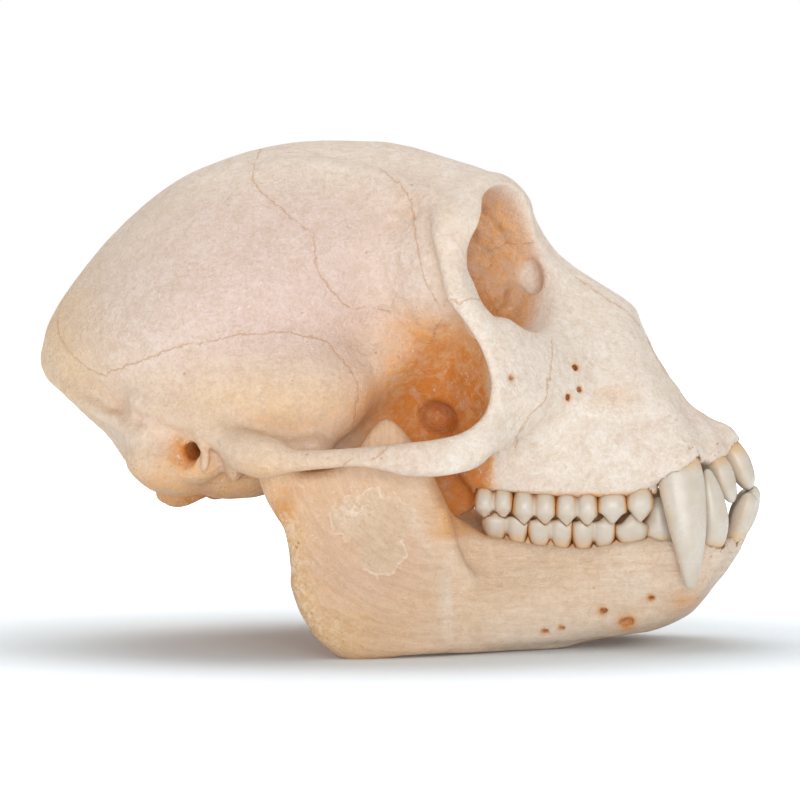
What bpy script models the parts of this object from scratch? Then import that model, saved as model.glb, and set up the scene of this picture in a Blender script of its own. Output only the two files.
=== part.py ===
# Skull of an adult male mona monkey, with its lower jaw and its 32 teeth.
#
# The face looks along +X, the skull's left side is +Y and +Z is up. The jaw stands on the plane z = 0.
# Lengths are in millimetres throughout, and become metres where a mesh is made.
# Each bone is a set of overlapping lofts and ellipsoids that a voxel remesh fuses into one skin, as the
# bones of a skull fuse along their sutures. Orbits, nose, palate, brain space and tooth sockets are cut
# out of that skin.

import math

import bmesh
import bpy
from mathutils import Matrix, Vector

# Driving dimensions
MM = 0.001
MIDDLE_X = -0.3               # halfway along the skull in the numbers below, moved to x = 0 in the meshes
GAP = 0.32                    # clearance between two pieces that touch
BONE_VOXEL = 1.0
RING_SIDES = 20
TOOTH_SIDES = 8
CRANIUM_KEEP = 0.055          # share of the remeshed faces that the finished skin keeps
MANDIBLE_KEEP = 0.060
SMOOTHING = 0.5               # how far each smoothing step moves a point, and how many steps there are
SMOOTHING_STEPS = 3
SHARP_EDGE = 40               # degrees between two faces of a tooth from which their edge stays sharp
HOLE_SIDES = 12

# How square each kind of ring is: 2 is an ellipse, and more is squarer
OVAL = 2.2
BRAINCASE_POWER = 2.15
BONE_POWER = 2.6
FACE_LOW_POWER = 7.0
PLATE_POWER = 3.0
NARROWING = 1.6               # how late a ring narrows toward its top
DOME = 0.6                    # size and distance of the ring that rounds off a bar's end

# Molars and premolars: size at the root end, the neck, the widest part and the biting edge, as shares
ROOT_SHARE = 0.36
NECK_SHARE = 0.64
EDGE_SHARE = 0.84
BULGE_HEIGHT = 2.2            # from the neck to the widest part
CUSP_DIP = 0.5                # how much lower every second corner of the biting edge lies

# Braincase: x, underside, roof, half width
BRAINCASE = [
    (-52.9, 42.5, 45.5, 3.0), (-52.0, 39.6, 47.8, 8.5), (-49.5, 36.3, 52.0, 14.0), (-45.0, 31.4, 57.6, 18.8),
    (-40.0, 25.6, 62.5, 22.2), (-34.0, 21.6, 67.2, 24.8), (-27.0, 21.6, 70.4, 26.2), (-20.0, 26.0, 72.2, 26.4),
    (-12.0, 29.0, 73.1, 25.3), (-4.0, 33.0, 73.0, 23.0), (4.0, 39.0, 71.3, 21.0), (10.0, 48.0, 69.4, 20.8),
    (14.0, 56.0, 67.4, 19.0), (15.8, 60.0, 65.8, 14.0)]

# Brain space: x, floor, roof, half width. In front it lies above the orbits.
BRAIN = [
    (-49.6, 42.5, 46.0, 6.0), (-46.5, 37.5, 51.5, 12.5), (-41.0, 31.5, 58.0, 18.0), (-34.0, 25.0, 64.0, 22.0),
    (-27.0, 25.5, 67.4, 23.3), (-20.0, 29.5, 69.3, 23.5), (-12.0, 33.5, 70.2, 22.4), (-7.0, 39.0, 70.3, 20.8),
    (-4.0, 49.0, 70.2, 19.5), (0.0, 60.5, 69.4, 17.0), (4.0, 64.5, 68.4, 12.0)]
FORAMEN_MAGNUM = [((-33.5, 0, 30.0), 5.6, 6.0), ((-34.0, 0, 24.0), 5.6, 6.0), ((-34.6, 0, 14.0), 6.4, 7.0)]

# Face from the throat to the front teeth: x, tooth border, ridge, half width low down, half width at the ridge
FACE = [
    (7.0, 24.6, 44.0, 14.4, 8.0), (10.0, 23.4, 52.0, 15.6, 5.0), (15.0, 22.6, 62.5, 15.8, 4.4),
    (19.0, 22.3, 62.3, 15.8, 4.2), (24.0, 22.0, 55.6, 15.6, 4.4), (29.0, 21.9, 52.0, 15.2, 4.6),
    (33.0, 22.2, 49.8, 15.0, 5.0), (36.5, 23.4, 45.2, 15.0, 6.6), (40.0, 25.8, 39.5, 14.4, 7.6),
    (43.0, 27.2, 36.0, 12.2, 7.4), (45.5, 28.0, 33.2, 9.0, 6.0), (48.0, 28.8, 30.2, 4.4, 3.4)]

# The bones below the braincase that reach from the throat to the palate: x, underside, top, half width
SPHENOID = [(-14.0, 27.0, 34.0, 8.0), (-6.0, 25.5, 40.0, 10.0), (0.0, 20.5, 46.0, 11.0), (3.5, 17.5, 50.0, 11.5),
            (8.0, 20.0, 54.0, 12.5), (12.0, 24.0, 54.0, 12.0)]

# Rows of (centre, half height, half thickness) along bars that are thin across
CHEEK_ARCH = [
    ((24.5, 8.0, 39.0), 5.0, 2.4), ((20.5, 16.5, 37.6), 6.6, 2.6), ((16.6, 23.4, 36.8), 7.4, 2.4),
    ((14.0, 26.6, 34.0), 6.2, 2.2),
    ((10.5, 28.9, 29.6), 3.8, 1.9), ((5.0, 31.0, 28.3), 2.8, 1.6), ((-2.0, 32.3, 28.4), 1.7, 1.5),
    ((-10.0, 31.8, 27.9), 1.7, 1.5), ((-16.0, 29.6, 28.2), 2.0, 1.7), ((-22.0, 25.8, 31.0), 2.6, 2.2),
    ((-28.0, 23.0, 34.5), 2.4, 2.0)]
ORBIT_SIDE = [
    ((14.5, 26.0, 38.0), 4.0, 2.2), ((13.8, 26.2, 44.0), 3.8, 2.0), ((10.8, 25.8, 50.0), 2.9, 1.7),
    ((9.0, 25.4, 55.5), 2.7, 1.6), ((8.8, 24.6, 60.0), 2.8, 1.7), ((9.4, 22.6, 63.0), 2.8, 2.0)]
# Rows of (point, radius) along round bars
BROW = [((16.2, 0, 64.6), 2.9), ((16.4, 7, 65.4), 2.6), ((15.5, 14, 65.6), 2.5), ((12.8, 20, 64.2), 2.3),
        ((9.6, 23, 61.6), 2.2)]
TEMPORAL_RIDGE = [((8.6, 22.0, 61.6), 2.6), ((4.5, 19.8, 64.0), 2.4), ((-1.0, 16.8, 66.0), 2.2),
                  ((-8.0, 14.0, 67.5), 2.0)]
NUCHAL_RIDGE = [((-51.0, 0, 38.6), 1.6), ((-47.8, 8, 36.6), 1.6), ((-43.4, 14.4, 34.2), 1.6),
                ((-38.0, 19.2, 31.6), 1.6), ((-31.0, 22.0, 29.0), 1.8)]
# Ellipsoids: centre, radii
JAW_SOCKET_ROOF = ((-16.5, 22.0, 30.0), (5.5, 7.5, 2.4))
BEHIND_JAW_SOCKET = ((-21.2, 22.4, 27.4), (1.7, 3.2, 2.7))
MASTOID = ((-29.5, 18.0, 25.6), (7.0, 6.2, 5.2))
NECK_JOINT = ((-30.0, 7.6, 21.6), (4.6, 2.6, 2.4))
CHEEK_FILL = ((13.6, 19.0, 42.0), (6.6, 8.6, 7.0))

# Orbit: points and radii from in front of the rim back to the apex
ORBIT = [((30.0, 22.0, 60.0), 12.6), ((16.0, 15.0, 56.2), 10.9), ((6.0, 12.2, 54.6), 8.9), ((-2.0, 9.0, 52.0), 3.4)]
ORBIT_WALL = [((12.5, 14.4, 55.6), 12.9), ((6.0, 12.6, 54.5), 11.0), ((-3.0, 9.0, 52.0), 5.4)]

# Nose: centre, half width, half height, from the front opening back to the throat
NOSE = [((48.0, 0, 38.5), 4.8, 4.6), ((40.0, 0, 38.6), 5.3, 5.4), ((32.0, 0, 39.0), 5.6, 5.4),
        ((20.0, 0, 37.0), 5.2, 4.4), ((8.0, 0, 32.5), 4.6, 3.2), ((-6.0, 0, 25.0), 4.4, 3.6),
        ((-16.0, 0, 17.0), 4.4, 4.0)]
# Palate vault: centre, half width, half height
PALATE = [((-4.0, 0, 17.5), 7.2, 6.0), ((8.0, 0, 19.5), 8.6, 6.4), ((24.0, 0, 19.5), 9.0, 7.2),
          ((34.0, 0, 21.0), 8.2, 6.4), ((42.5, 0, 24.5), 4.4, 3.6)]

# Lower jaw: the horseshoe from the left ramus to the chin, as (centre, half height along a slant, slant in X
# for each unit up, half thickness)
JAW_BODY = [
    ((3.0, 23.4, 9.0), 8.6, 0.0, 2.4), ((9.0, 20.6, 8.8), 8.9, 0.0, 3.4), ((15.0, 17.6, 8.0), 8.3, 0.0, 3.9),
    ((22.0, 14.9, 7.4), 7.7, 0.0, 3.9), ((29.0, 12.2, 7.6), 7.6, 0.1, 3.9), ((35.2, 9.6, 8.2), 7.9, 0.3, 3.7),
    ((40.4, 7.9, 8.9), 8.3, 0.6, 3.9), ((42.9, 4.2, 9.3), 8.7, 0.75, 4.1), ((43.6, 0.0, 9.4), 8.9, 0.8, 4.1)]
# Ramus: z, rear edge, front edge, y, half thickness
RAMUS = [(-0.6, -5.5, 0.5, 26.2, 1.6), (0.6, -7.2, 6.0, 26.2, 2.0), (4.0, -10.4, 9.0, 25.8, 2.2),
         (8.0, -12.7, 9.8, 25.4, 2.1), (12.0, -13.5, 9.8, 25.0, 2.1), (16.0, -14.2, 9.2, 24.6, 2.1),
         (20.0, -15.8, 8.4, 24.2, 2.1), (23.5, -17.4, 6.8, 23.9, 2.0), (26.0, -17.6, 5.2, 23.7, 1.6)]
CORONOID = [(24.0, -8.0, 6.2, 23.8, 1.8), (27.5, -5.0, 4.8, 23.6, 1.6), (30.5, -3.0, 2.8, 23.3, 1.4),
            (33.0, -1.4, 0.2, 23.0, 1.0)]
CONDYLE = ((-15.2, 22.3, 25.7), (2.2, 5.0, 1.5))

# Where the upper and the lower teeth meet: height at y = 12, fall toward the cheek, rise toward the back
BITE_HEIGHT = 18.9
BITE_FALL = 0.40
BITE_RISE = 1.2

# Teeth of one side. Cheek teeth: x, y, neck, half length, half width, root end, turn in degrees.
UPPER_CHEEK_TEETH = {
    "premolar_3": (34.9, 11.8, 23.0, 1.65, 2.3, 29.5, -10), "premolar_4": (31.0, 12.0, 22.8, 1.8, 2.6, 29.5, -6),
    "molar_1": (26.0, 12.1, 22.6, 2.6, 2.8, 29.5, -3), "molar_2": (20.0, 12.2, 22.8, 2.7, 2.9, 29.5, 0),
    "molar_3": (14.2, 12.2, 23.2, 2.4, 2.7, 29.0, 4)}
LOWER_CHEEK_TEETH = {
    "premolar_3": (38.0, 9.6, 15.8, 2.1, 1.5, 8.5, -22), "premolar_4": (33.8, 11.0, 15.3, 1.9, 2.0, 8.0, -12),
    "molar_1": (28.5, 11.5, 15.0, 2.55, 2.2, 7.5, -8), "molar_2": (22.3, 12.0, 15.2, 2.7, 2.3, 7.5, -5),
    "molar_3": (16.2, 12.8, 16.2, 2.7, 2.2, 8.0, -8)}
# Front teeth: turn in degrees, then (centre, half size along the row, half size across it) from root to tip
UPPER_FRONT_TEETH = {
    "incisor_1": (-80, [((43.4, 2.1, 32.0), 0.7, 0.7), ((46.9, 2.5, 29.4), 1.8, 1.5),
                        ((49.4, 2.65, 26.6), 2.25, 1.8), ((51.0, 2.65, 23.5), 2.2, 0.6)]),
    "incisor_2": (-58, [((41.0, 6.9, 32.5), 0.7, 0.7), ((44.9, 6.8, 28.2), 1.3, 1.4),
                        ((46.8, 6.9, 25.2), 1.55, 1.5), ((47.9, 6.9, 22.2), 0.9, 0.5)]),
    "canine": (-12, [((35.6, 9.4, 34.0), 1.1, 0.9), ((40.4, 12.1, 26.5), 2.7, 2.0),
                     ((41.8, 13.1, 19.3), 2.6, 1.8), ((42.1, 13.8, 8.8), 0.45, 0.45)])}
LOWER_FRONT_TEETH = {
    "incisor_1": (-82, [((46.3, 1.6, 10.0), 0.6, 0.6), ((49.6, 1.65, 16.6), 1.1, 1.2),
                        ((51.0, 1.7, 19.4), 1.4, 1.1), ((51.7, 1.7, 22.4), 1.4, 0.45)]),
    "incisor_2": (-62, [((45.4, 4.0, 9.5), 0.6, 0.6), ((48.1, 4.6, 16.0), 1.0, 1.1),
                        ((49.2, 4.8, 18.8), 1.35, 1.0), ((49.8, 4.8, 21.4), 1.4, 0.45)]),
    "canine": (-40, [((41.4, 7.4, 6.5), 0.9, 0.9), ((45.0, 9.3, 15.2), 1.8, 1.6),
                     ((45.5, 9.9, 20.0), 1.6, 1.4), ((45.3, 10.3, 25.8), 0.4, 0.4)])}

# Looks: base colour, roughness
BONE = ((0.80, 0.66, 0.50), 0.62)
JAW_BONE = ((0.78, 0.58, 0.40), 0.60)
ENAMEL = ((0.88, 0.82, 0.70), 0.30)


def clear_scene():
    for old in list(bpy.data.objects):
        bpy.data.objects.remove(old, do_unlink=True)


def material(name, look):
    colour, roughness = look
    made = bpy.data.materials.new(name)
    made.use_nodes = True
    shader = made.node_tree.nodes["Principled BSDF"]
    shader.inputs["Base Color"].default_value = (*colour, 1.0)
    shader.inputs["Roughness"].default_value = roughness
    shader.inputs["Metallic"].default_value = 0.0
    return made


def object_from(name, bm):
    """An object whose mesh is the bmesh, moved to the skull's own origin and turned to metres."""
    bmesh.ops.recalc_face_normals(bm, faces=bm.faces)
    bm.transform(Matrix.Scale(MM, 4) @ Matrix.Translation((-MIDDLE_X, 0, 0)))
    mesh = bpy.data.meshes.new(name)
    bm.to_mesh(mesh)
    bm.free()
    made = bpy.data.objects.new(name, mesh)
    bpy.context.collection.objects.link(made)
    return made


def ring(centre, across, upward, power=2.0, sides=RING_SIDES, top_share=1.0, low_power=None):
    """Points of a superellipse whose top is top_share as wide as its bottom.

    low_power is how square the lower half is, where that differs from the upper half.
    """
    points = []
    for step in range(sides):
        angle = 2 * math.pi * (step + 0.5) / sides
        used = low_power if low_power and angle > math.pi else power
        u = math.copysign(abs(math.cos(angle)) ** (2 / used), math.cos(angle))
        v = math.copysign(abs(math.sin(angle)) ** (2 / used), math.sin(angle))
        wide = 1 - (1 - top_share) * ((v + 1) / 2) ** NARROWING
        points.append(Vector(centre) + Vector(across) * u * wide + Vector(upward) * v)
    return points


def add_loft(bm, rings):
    """A closed skin through rings that have the same number of points."""
    loops = [[bm.verts.new(point) for point in points] for points in rings]
    for near, far in zip(loops, loops[1:]):
        for i in range(len(near)):
            j = (i + 1) % len(near)
            bm.faces.new((near[i], near[j], far[j], far[i]))
    bm.faces.new(loops[0])
    bm.faces.new(loops[-1])


def add_mirrored_loft(bm, rings):
    add_loft(bm, rings)
    add_loft(bm, [[Vector((p.x, -p.y, p.z)) for p in points] for points in rings])


def tangent(points, i):
    before = Vector(points[max(i - 1, 0)])
    after = Vector(points[min(i + 1, len(points) - 1)])
    return (after - before).normalized()


def round_bar(rows):
    """Rings of a round bar through rows of (point, radius), with domed ends."""
    points = [row[0] for row in rows]
    rings = []
    for i, (point, radius) in enumerate(rows):
        along = tangent(points, i)
        side = along.orthogonal().normalized()
        over = along.cross(side)
        small = radius * DOME
        if i == 0:
            rings.append(ring(Vector(point) - along * small, side * small, over * small))
        rings.append(ring(point, side * radius, over * radius))
        if i == len(rows) - 1:
            rings.append(ring(Vector(point) + along * small, side * small, over * small))
    return rings


def flat_bar(rows, edge_direction):
    """Rings of a bar that is thin across: rows of (centre, half height, half thickness)."""
    points = [row[0] for row in rows]
    rings = []
    for i, (point, half_height, half_thickness) in enumerate(rows):
        along = tangent(points, i)
        edge = Vector(edge_direction)
        edge = (edge - along * edge.dot(along)).normalized()
        across = along.cross(edge)
        rings.append(ring(point, across * half_thickness, edge * half_height, BONE_POWER))
    return rings


def level_bar(rows):
    """Rings that stand upright along X: rows of (centre, half width, half height)."""
    return [ring(c, (0, half_width, 0), (0, 0, half_height), OVAL) for c, half_width, half_height in rows]


def body_along_x(rows, power):
    """Rings that stand upright along X: rows of (x, underside, top, half width)."""
    return [ring((x, 0, (low + high) / 2), (0, half, 0), (0, 0, (high - low) / 2), power)
            for x, low, high, half in rows]


def face_rings():
    rings = []
    for x, low, high, wide, narrow in FACE:
        rings.append(ring((x, 0, (low + high) / 2), (0, wide, 0), (0, 0, (high - low) / 2), BONE_POWER,
                          top_share=narrow / wide, low_power=FACE_LOW_POWER))
    return rings


def add_ellipsoid(bm, centre, radii):
    place = Matrix.Translation(centre) @ Matrix.Diagonal((*radii, 1.0))
    bmesh.ops.create_icosphere(bm, subdivisions=3, radius=1.0, matrix=place)


def add_ellipsoid_pair(bm, spot):
    (x, y, z), radii = spot
    add_ellipsoid(bm, (x, y, z), radii)
    add_ellipsoid(bm, (x, -y, z), radii)


def fuse(piece, keep):
    """Turns overlapping skins into one, smooths it and thins out its faces."""
    remesh = piece.modifiers.new("fuse", "REMESH")
    remesh.mode = "VOXEL"
    remesh.voxel_size = BONE_VOXEL * MM
    smooth = piece.modifiers.new("smooth", "SMOOTH")
    smooth.factor = SMOOTHING
    smooth.iterations = SMOOTHING_STEPS
    thin = piece.modifiers.new("fewer faces", "DECIMATE")
    thin.ratio = keep


def cut(piece, bm, name):
    """Cuts the bmesh's shape out of the piece."""
    tool = object_from("cut_" + name, bm)
    tool.hide_render = True
    tool.display_type = "WIRE"
    boolean = piece.modifiers.new("cut " + name, "BOOLEAN")
    boolean.operation = "DIFFERENCE"
    boolean.solver = "EXACT"
    boolean.object = tool


def cut_loft(piece, name, rings, mirrored=False):
    bm = bmesh.new()
    if mirrored:
        add_mirrored_loft(bm, rings)
    else:
        add_loft(bm, rings)
    cut(piece, bm, name)


def bite(x, y):
    """Height of the surface in which the upper and the lower cheek teeth meet."""
    back = min(max((19.0 - x) / 7.0, 0.0), 1.0)
    return BITE_HEIGHT + BITE_FALL * (12.0 - abs(y)) + BITE_RISE * back * back


def cheek_tooth_rings(row, up, grow):
    """Root, neck, widest part and biting edge of a molar or premolar. up is 1 in the lower jaw, -1 above."""
    x, y, neck, half_length, half_width, root_end, turn = row
    spin = Matrix.Rotation(math.radians(turn), 3, "Z")
    along = spin @ Vector((half_length + grow, 0, 0))
    across = spin @ Vector((0, half_width + grow, 0))
    rings = []
    levels = ((ROOT_SHARE, root_end - up * grow), (NECK_SHARE, neck), (1.0, neck + up * BULGE_HEIGHT))
    for share, z in levels:
        rings.append(ring((x, y, z), along * share, across * share, PLATE_POWER, TOOTH_SIDES))
    top = ring((x, y, 0), along * EDGE_SHARE, across * EDGE_SHARE, PLATE_POWER, TOOTH_SIDES)
    for i, point in enumerate(top):
        dip = 0.0 if i % 2 == 0 else CUSP_DIP
        point.z = bite(point.x, point.y) - up * (GAP / 2 + dip)
    rings.append(top)
    return rings


def front_tooth_rings(row, grow):
    """Root, neck, middle and tip of an incisor or canine."""
    turn, stations = row
    points = [station[0] for station in stations]
    spin = Matrix.Rotation(math.radians(turn), 3, "Z")
    rings = []
    for i, (point, half_length, half_width) in enumerate(stations):
        down = tangent(points, i)
        along = spin @ Vector((1, 0, 0))
        along = (along - down * along.dot(down)).normalized()
        across = down.cross(along)
        place = Vector(point)
        if i == 0:
            place -= down * grow
        rings.append(ring(place, along * (half_length + grow), across * (half_width + grow), OVAL, TOOTH_SIDES))
    return rings


def on_side(rings, side):
    """The rings as they are on the left side, or mirrored on the right side."""
    sign = 1 if side == "left" else -1
    return [[Vector((p.x, sign * p.y, p.z)) for p in points] for points in rings]


def tooth_rings(jaw, name, side, grow=0.0):
    cheek_teeth = UPPER_CHEEK_TEETH if jaw == "upper" else LOWER_CHEEK_TEETH
    front_teeth = UPPER_FRONT_TEETH if jaw == "upper" else LOWER_FRONT_TEETH
    up = -1 if jaw == "upper" else 1
    if name in cheek_teeth:
        return on_side(cheek_tooth_rings(cheek_teeth[name], up, grow), side)
    return on_side(front_tooth_rings(front_teeth[name], grow), side)


def tooth_names(jaw):
    if jaw == "upper":
        return list(UPPER_FRONT_TEETH) + list(UPPER_CHEEK_TEETH)
    return list(LOWER_FRONT_TEETH) + list(LOWER_CHEEK_TEETH)


def make_teeth(jaw, enamel):
    for side in ("right", "left"):
        for name in tooth_names(jaw):
            bm = bmesh.new()
            add_loft(bm, tooth_rings(jaw, name, side))
            tooth = object_from(f"tooth_{jaw}_{side}_{name}", bm)
            tooth.data.materials.append(enamel)
            tooth.data.shade_smooth()
            tooth.data.set_sharp_from_angle(angle=math.radians(SHARP_EDGE))


def cut_sockets(piece, jaw):
    """A socket a little wider than the root for each tooth, clear of the crown too."""
    for side in ("right", "left"):
        for name in tooth_names(jaw):
            rings = tooth_rings(jaw, name, side, GAP)
            cut_loft(piece, f"socket_{jaw}_{side}_{name}", rings)


def make_cranium(bone):
    bm = bmesh.new()
    add_loft(bm, body_along_x(BRAINCASE, BRAINCASE_POWER))
    add_loft(bm, face_rings())
    add_loft(bm, body_along_x(SPHENOID, BONE_POWER))
    add_mirrored_loft(bm, flat_bar(CHEEK_ARCH, (0, 0, 1)))
    add_mirrored_loft(bm, flat_bar(ORBIT_SIDE, (1, 0, 0)))
    for bar in (BROW, TEMPORAL_RIDGE, NUCHAL_RIDGE, ORBIT_WALL):
        add_mirrored_loft(bm, round_bar(bar))
    for spot in (JAW_SOCKET_ROOF, BEHIND_JAW_SOCKET, MASTOID, NECK_JOINT, CHEEK_FILL):
        add_ellipsoid_pair(bm, spot)
    cranium = object_from("cranium", bm)
    cranium.data.materials.append(bone)
    fuse(cranium, CRANIUM_KEEP)
    cut_loft(cranium, "brain", body_along_x(BRAIN, OVAL))
    cut_loft(cranium, "foramen", [ring(c, (a, 0, 0), (0, b, 0), sides=HOLE_SIDES) for c, a, b in FORAMEN_MAGNUM])
    cut_loft(cranium, "orbits", round_bar(ORBIT), mirrored=True)
    cut_loft(cranium, "nose", level_bar(NOSE))
    cut_loft(cranium, "palate", level_bar(PALATE))
    cut_sockets(cranium, "upper")
    return cranium


def plate_rings(rows):
    """Level rings up a thin upright plate: rows of (z, rear edge, front edge, y, half thickness)."""
    return [ring(((rear + front) / 2, y, z), ((front - rear) / 2, 0, 0), (0, half, 0), PLATE_POWER)
            for z, rear, front, y, half in rows]


def jaw_body_rings():
    """Rings round the horseshoe, from the left end past the chin to the right end."""
    left = [(Vector(c), half, slant, thick) for c, half, slant, thick in JAW_BODY]
    right = [(Vector((c.x, -c.y, c.z)), half, slant, thick) for c, half, slant, thick in reversed(left[:-1])]
    rows = left + right
    points = [row[0] for row in rows]
    rings = []
    for i, (centre, half_height, slant, half_thickness) in enumerate(rows):
        along = tangent(points, i)
        outward = along.cross(Vector((0, 0, 1))).normalized()
        upward = Vector((slant, 0, 1)).normalized()
        outward = (outward - upward * outward.dot(upward)).normalized()
        rings.append(ring(centre, outward * half_thickness, upward * half_height, BONE_POWER))
    return rings


def make_mandible(bone):
    bm = bmesh.new()
    add_loft(bm, jaw_body_rings())
    add_mirrored_loft(bm, plate_rings(RAMUS))
    add_mirrored_loft(bm, plate_rings(CORONOID))
    add_ellipsoid_pair(bm, CONDYLE)
    mandible = object_from("mandible", bm)
    mandible.data.materials.append(bone)
    fuse(mandible, MANDIBLE_KEEP)
    cut_sockets(mandible, "lower")
    below = bmesh.new()
    bmesh.ops.create_cube(below, size=200.0, matrix=Matrix.Translation((0, 0, -100.0)))
    cut(mandible, below, "floor")
    return mandible


def main():
    clear_scene()
    make_cranium(material("cranium bone", BONE))
    make_mandible(material("jaw bone", JAW_BONE))
    enamel = material("enamel", ENAMEL)
    make_teeth("upper", enamel)
    make_teeth("lower", enamel)


main()
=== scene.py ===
"""A monkey's skull: two bones and 32 teeth made from distance fields, with a camera, lights and a floor."""
import math
import bpy
import numpy as np
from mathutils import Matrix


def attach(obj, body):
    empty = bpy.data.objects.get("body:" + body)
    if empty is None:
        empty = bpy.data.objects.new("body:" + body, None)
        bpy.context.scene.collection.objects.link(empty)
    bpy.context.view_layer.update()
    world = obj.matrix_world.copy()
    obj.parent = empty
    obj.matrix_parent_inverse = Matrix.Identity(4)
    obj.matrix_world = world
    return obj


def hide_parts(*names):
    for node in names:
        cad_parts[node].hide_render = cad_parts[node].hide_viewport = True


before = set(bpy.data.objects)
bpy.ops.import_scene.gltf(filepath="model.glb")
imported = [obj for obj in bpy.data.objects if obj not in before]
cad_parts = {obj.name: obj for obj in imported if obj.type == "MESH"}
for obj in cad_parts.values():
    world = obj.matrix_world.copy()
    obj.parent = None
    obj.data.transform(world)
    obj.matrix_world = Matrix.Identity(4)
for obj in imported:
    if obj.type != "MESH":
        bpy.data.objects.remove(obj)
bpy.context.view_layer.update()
# The fields' x is in millimetres and starts this much behind the frame's.
SHIFT = 0.3
# The finest grids, in millimetres.
BONE_STEP = 0.4
TOOTH_STEP = 0.24
MOST_CRANIUM_TRIANGLES = 195000
MOST_JAW_TRIANGLES = 130000


# Field tools: every solid is a signed distance in millimetres, negative inside.

FAR = 1e3


def curve_through(points, per_span=6, closed=False):
    """Points of a smooth curve through the given rows of numbers."""
    rows = np.array(points, float)
    count = len(rows)
    made = []
    for i in range(count if closed else count - 1):
        picks = [(i + j - 1) % count if closed else min(max(i + j - 1, 0), count - 1) for j in range(4)]
        a, b, c, d = rows[picks]
        for t in np.arange(per_span) / per_span:
            made.append(0.5 * (2 * b + (c - a) * t + (2 * a - 5 * b + 4 * c - d) * t ** 2
                               + (3 * b - a - 3 * c + d) * t ** 3))
    if not closed:
        made.append(rows[-1])
    return np.array(made)


def between(x, stations):
    """Smooth values at x from rows of (x, value)."""
    line = curve_through(stations, 8)
    return np.interp(x, line[:, 0], line[:, 1])


def ease(x, low, high):
    """0 below low, 1 above high, smooth in between."""
    t = np.clip((x - low) / (high - low), 0, 1)
    return t * t * (3 - 2 * t)


def join(a, b, blend):
    """The union of two distances, filleted over the blend."""
    if blend is None:
        return np.minimum(a, b)
    h = np.maximum(blend - np.abs(a - b), 0) / blend
    return np.minimum(a, b) - h * h * blend / 4


def meet(a, b, blend):
    """What two distances have in common, with the edge rounded over the blend."""
    return -join(-a, -b, blend)


def rounded(a, b, radius):
    """What two distances have in common, with a round edge of this radius."""
    u, v = np.maximum(a + radius, 0), np.maximum(b + radius, 0)
    return np.sqrt(u * u + v * v) - radius + np.minimum(np.maximum(a, b) + radius, 0)


class Shape:
    """A solid as a distance function of x, y and z, with the box that holds it."""

    def __init__(self, low, high, at):
        self.low = np.array(low, float)
        self.high = np.array(high, float)
        self.at = at


def spin(turn):
    """The matrix of a turn in degrees about X, then Y, then Z."""
    a, b, c = np.radians(turn)
    about_x = np.array([[1, 0, 0], [0, np.cos(a), -np.sin(a)], [0, np.sin(a), np.cos(a)]])
    about_y = np.array([[np.cos(b), 0, np.sin(b)], [0, 1, 0], [-np.sin(b), 0, np.cos(b)]])
    about_z = np.array([[np.cos(c), -np.sin(c), 0], [np.sin(c), np.cos(c), 0], [0, 0, 1]])
    return about_z @ about_y @ about_x


def flat(value):
    """The same number at every x and z."""
    return lambda x, z: value + 0 * x * z


def ellipsoid(centre, radii, turn=(0, 0, 0)):
    """An oval lump, turned in degrees about X, then Y, then Z."""
    m = spin(turn)
    reach = np.sqrt(((m * np.array(radii)) ** 2).sum(axis=1))

    def at(x, y, z):
        gone = (x - centre[0], y - centre[1], z - centre[2])
        u = [sum(m[j, i] * gone[j] for j in range(3)) for i in range(3)]
        k0 = np.sqrt(sum((u[i] / radii[i]) ** 2 for i in range(3)))
        k1 = np.sqrt(sum((u[i] / radii[i] ** 2) ** 2 for i in range(3)))
        return k0 * (k0 - 1) / np.maximum(k1, 1e-6)

    return Shape(centre - reach, centre + reach, at)


def tube(points, radii, per_span=4):
    """A round bar along a smooth curve."""
    rows = np.column_stack([np.array(points, float), np.array(radii, float)])
    line = curve_through(rows, per_span) if len(rows) > 2 else rows
    low = (line[:, :3] - line[:, 3:]).min(axis=0)
    high = (line[:, :3] + line[:, 3:]).max(axis=0)

    def at(x, y, z):
        best = np.full(np.shape(x), FAR)
        for a, b in zip(line[:-1], line[1:]):
            ab = b[:3] - a[:3]
            length = max(float(ab @ ab), 1e-9)
            t = np.clip(((x - a[0]) * ab[0] + (y - a[1]) * ab[1] + (z - a[2]) * ab[2]) / length, 0, 1)
            gone = ((x - a[0] - t * ab[0]) ** 2 + (y - a[1] - t * ab[1]) ** 2 + (z - a[2] - t * ab[2]) ** 2)
            best = np.minimum(best, np.sqrt(gone) - (a[3] + t * (b[3] - a[3])))
        return best

    return Shape(low, high, at)


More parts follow.
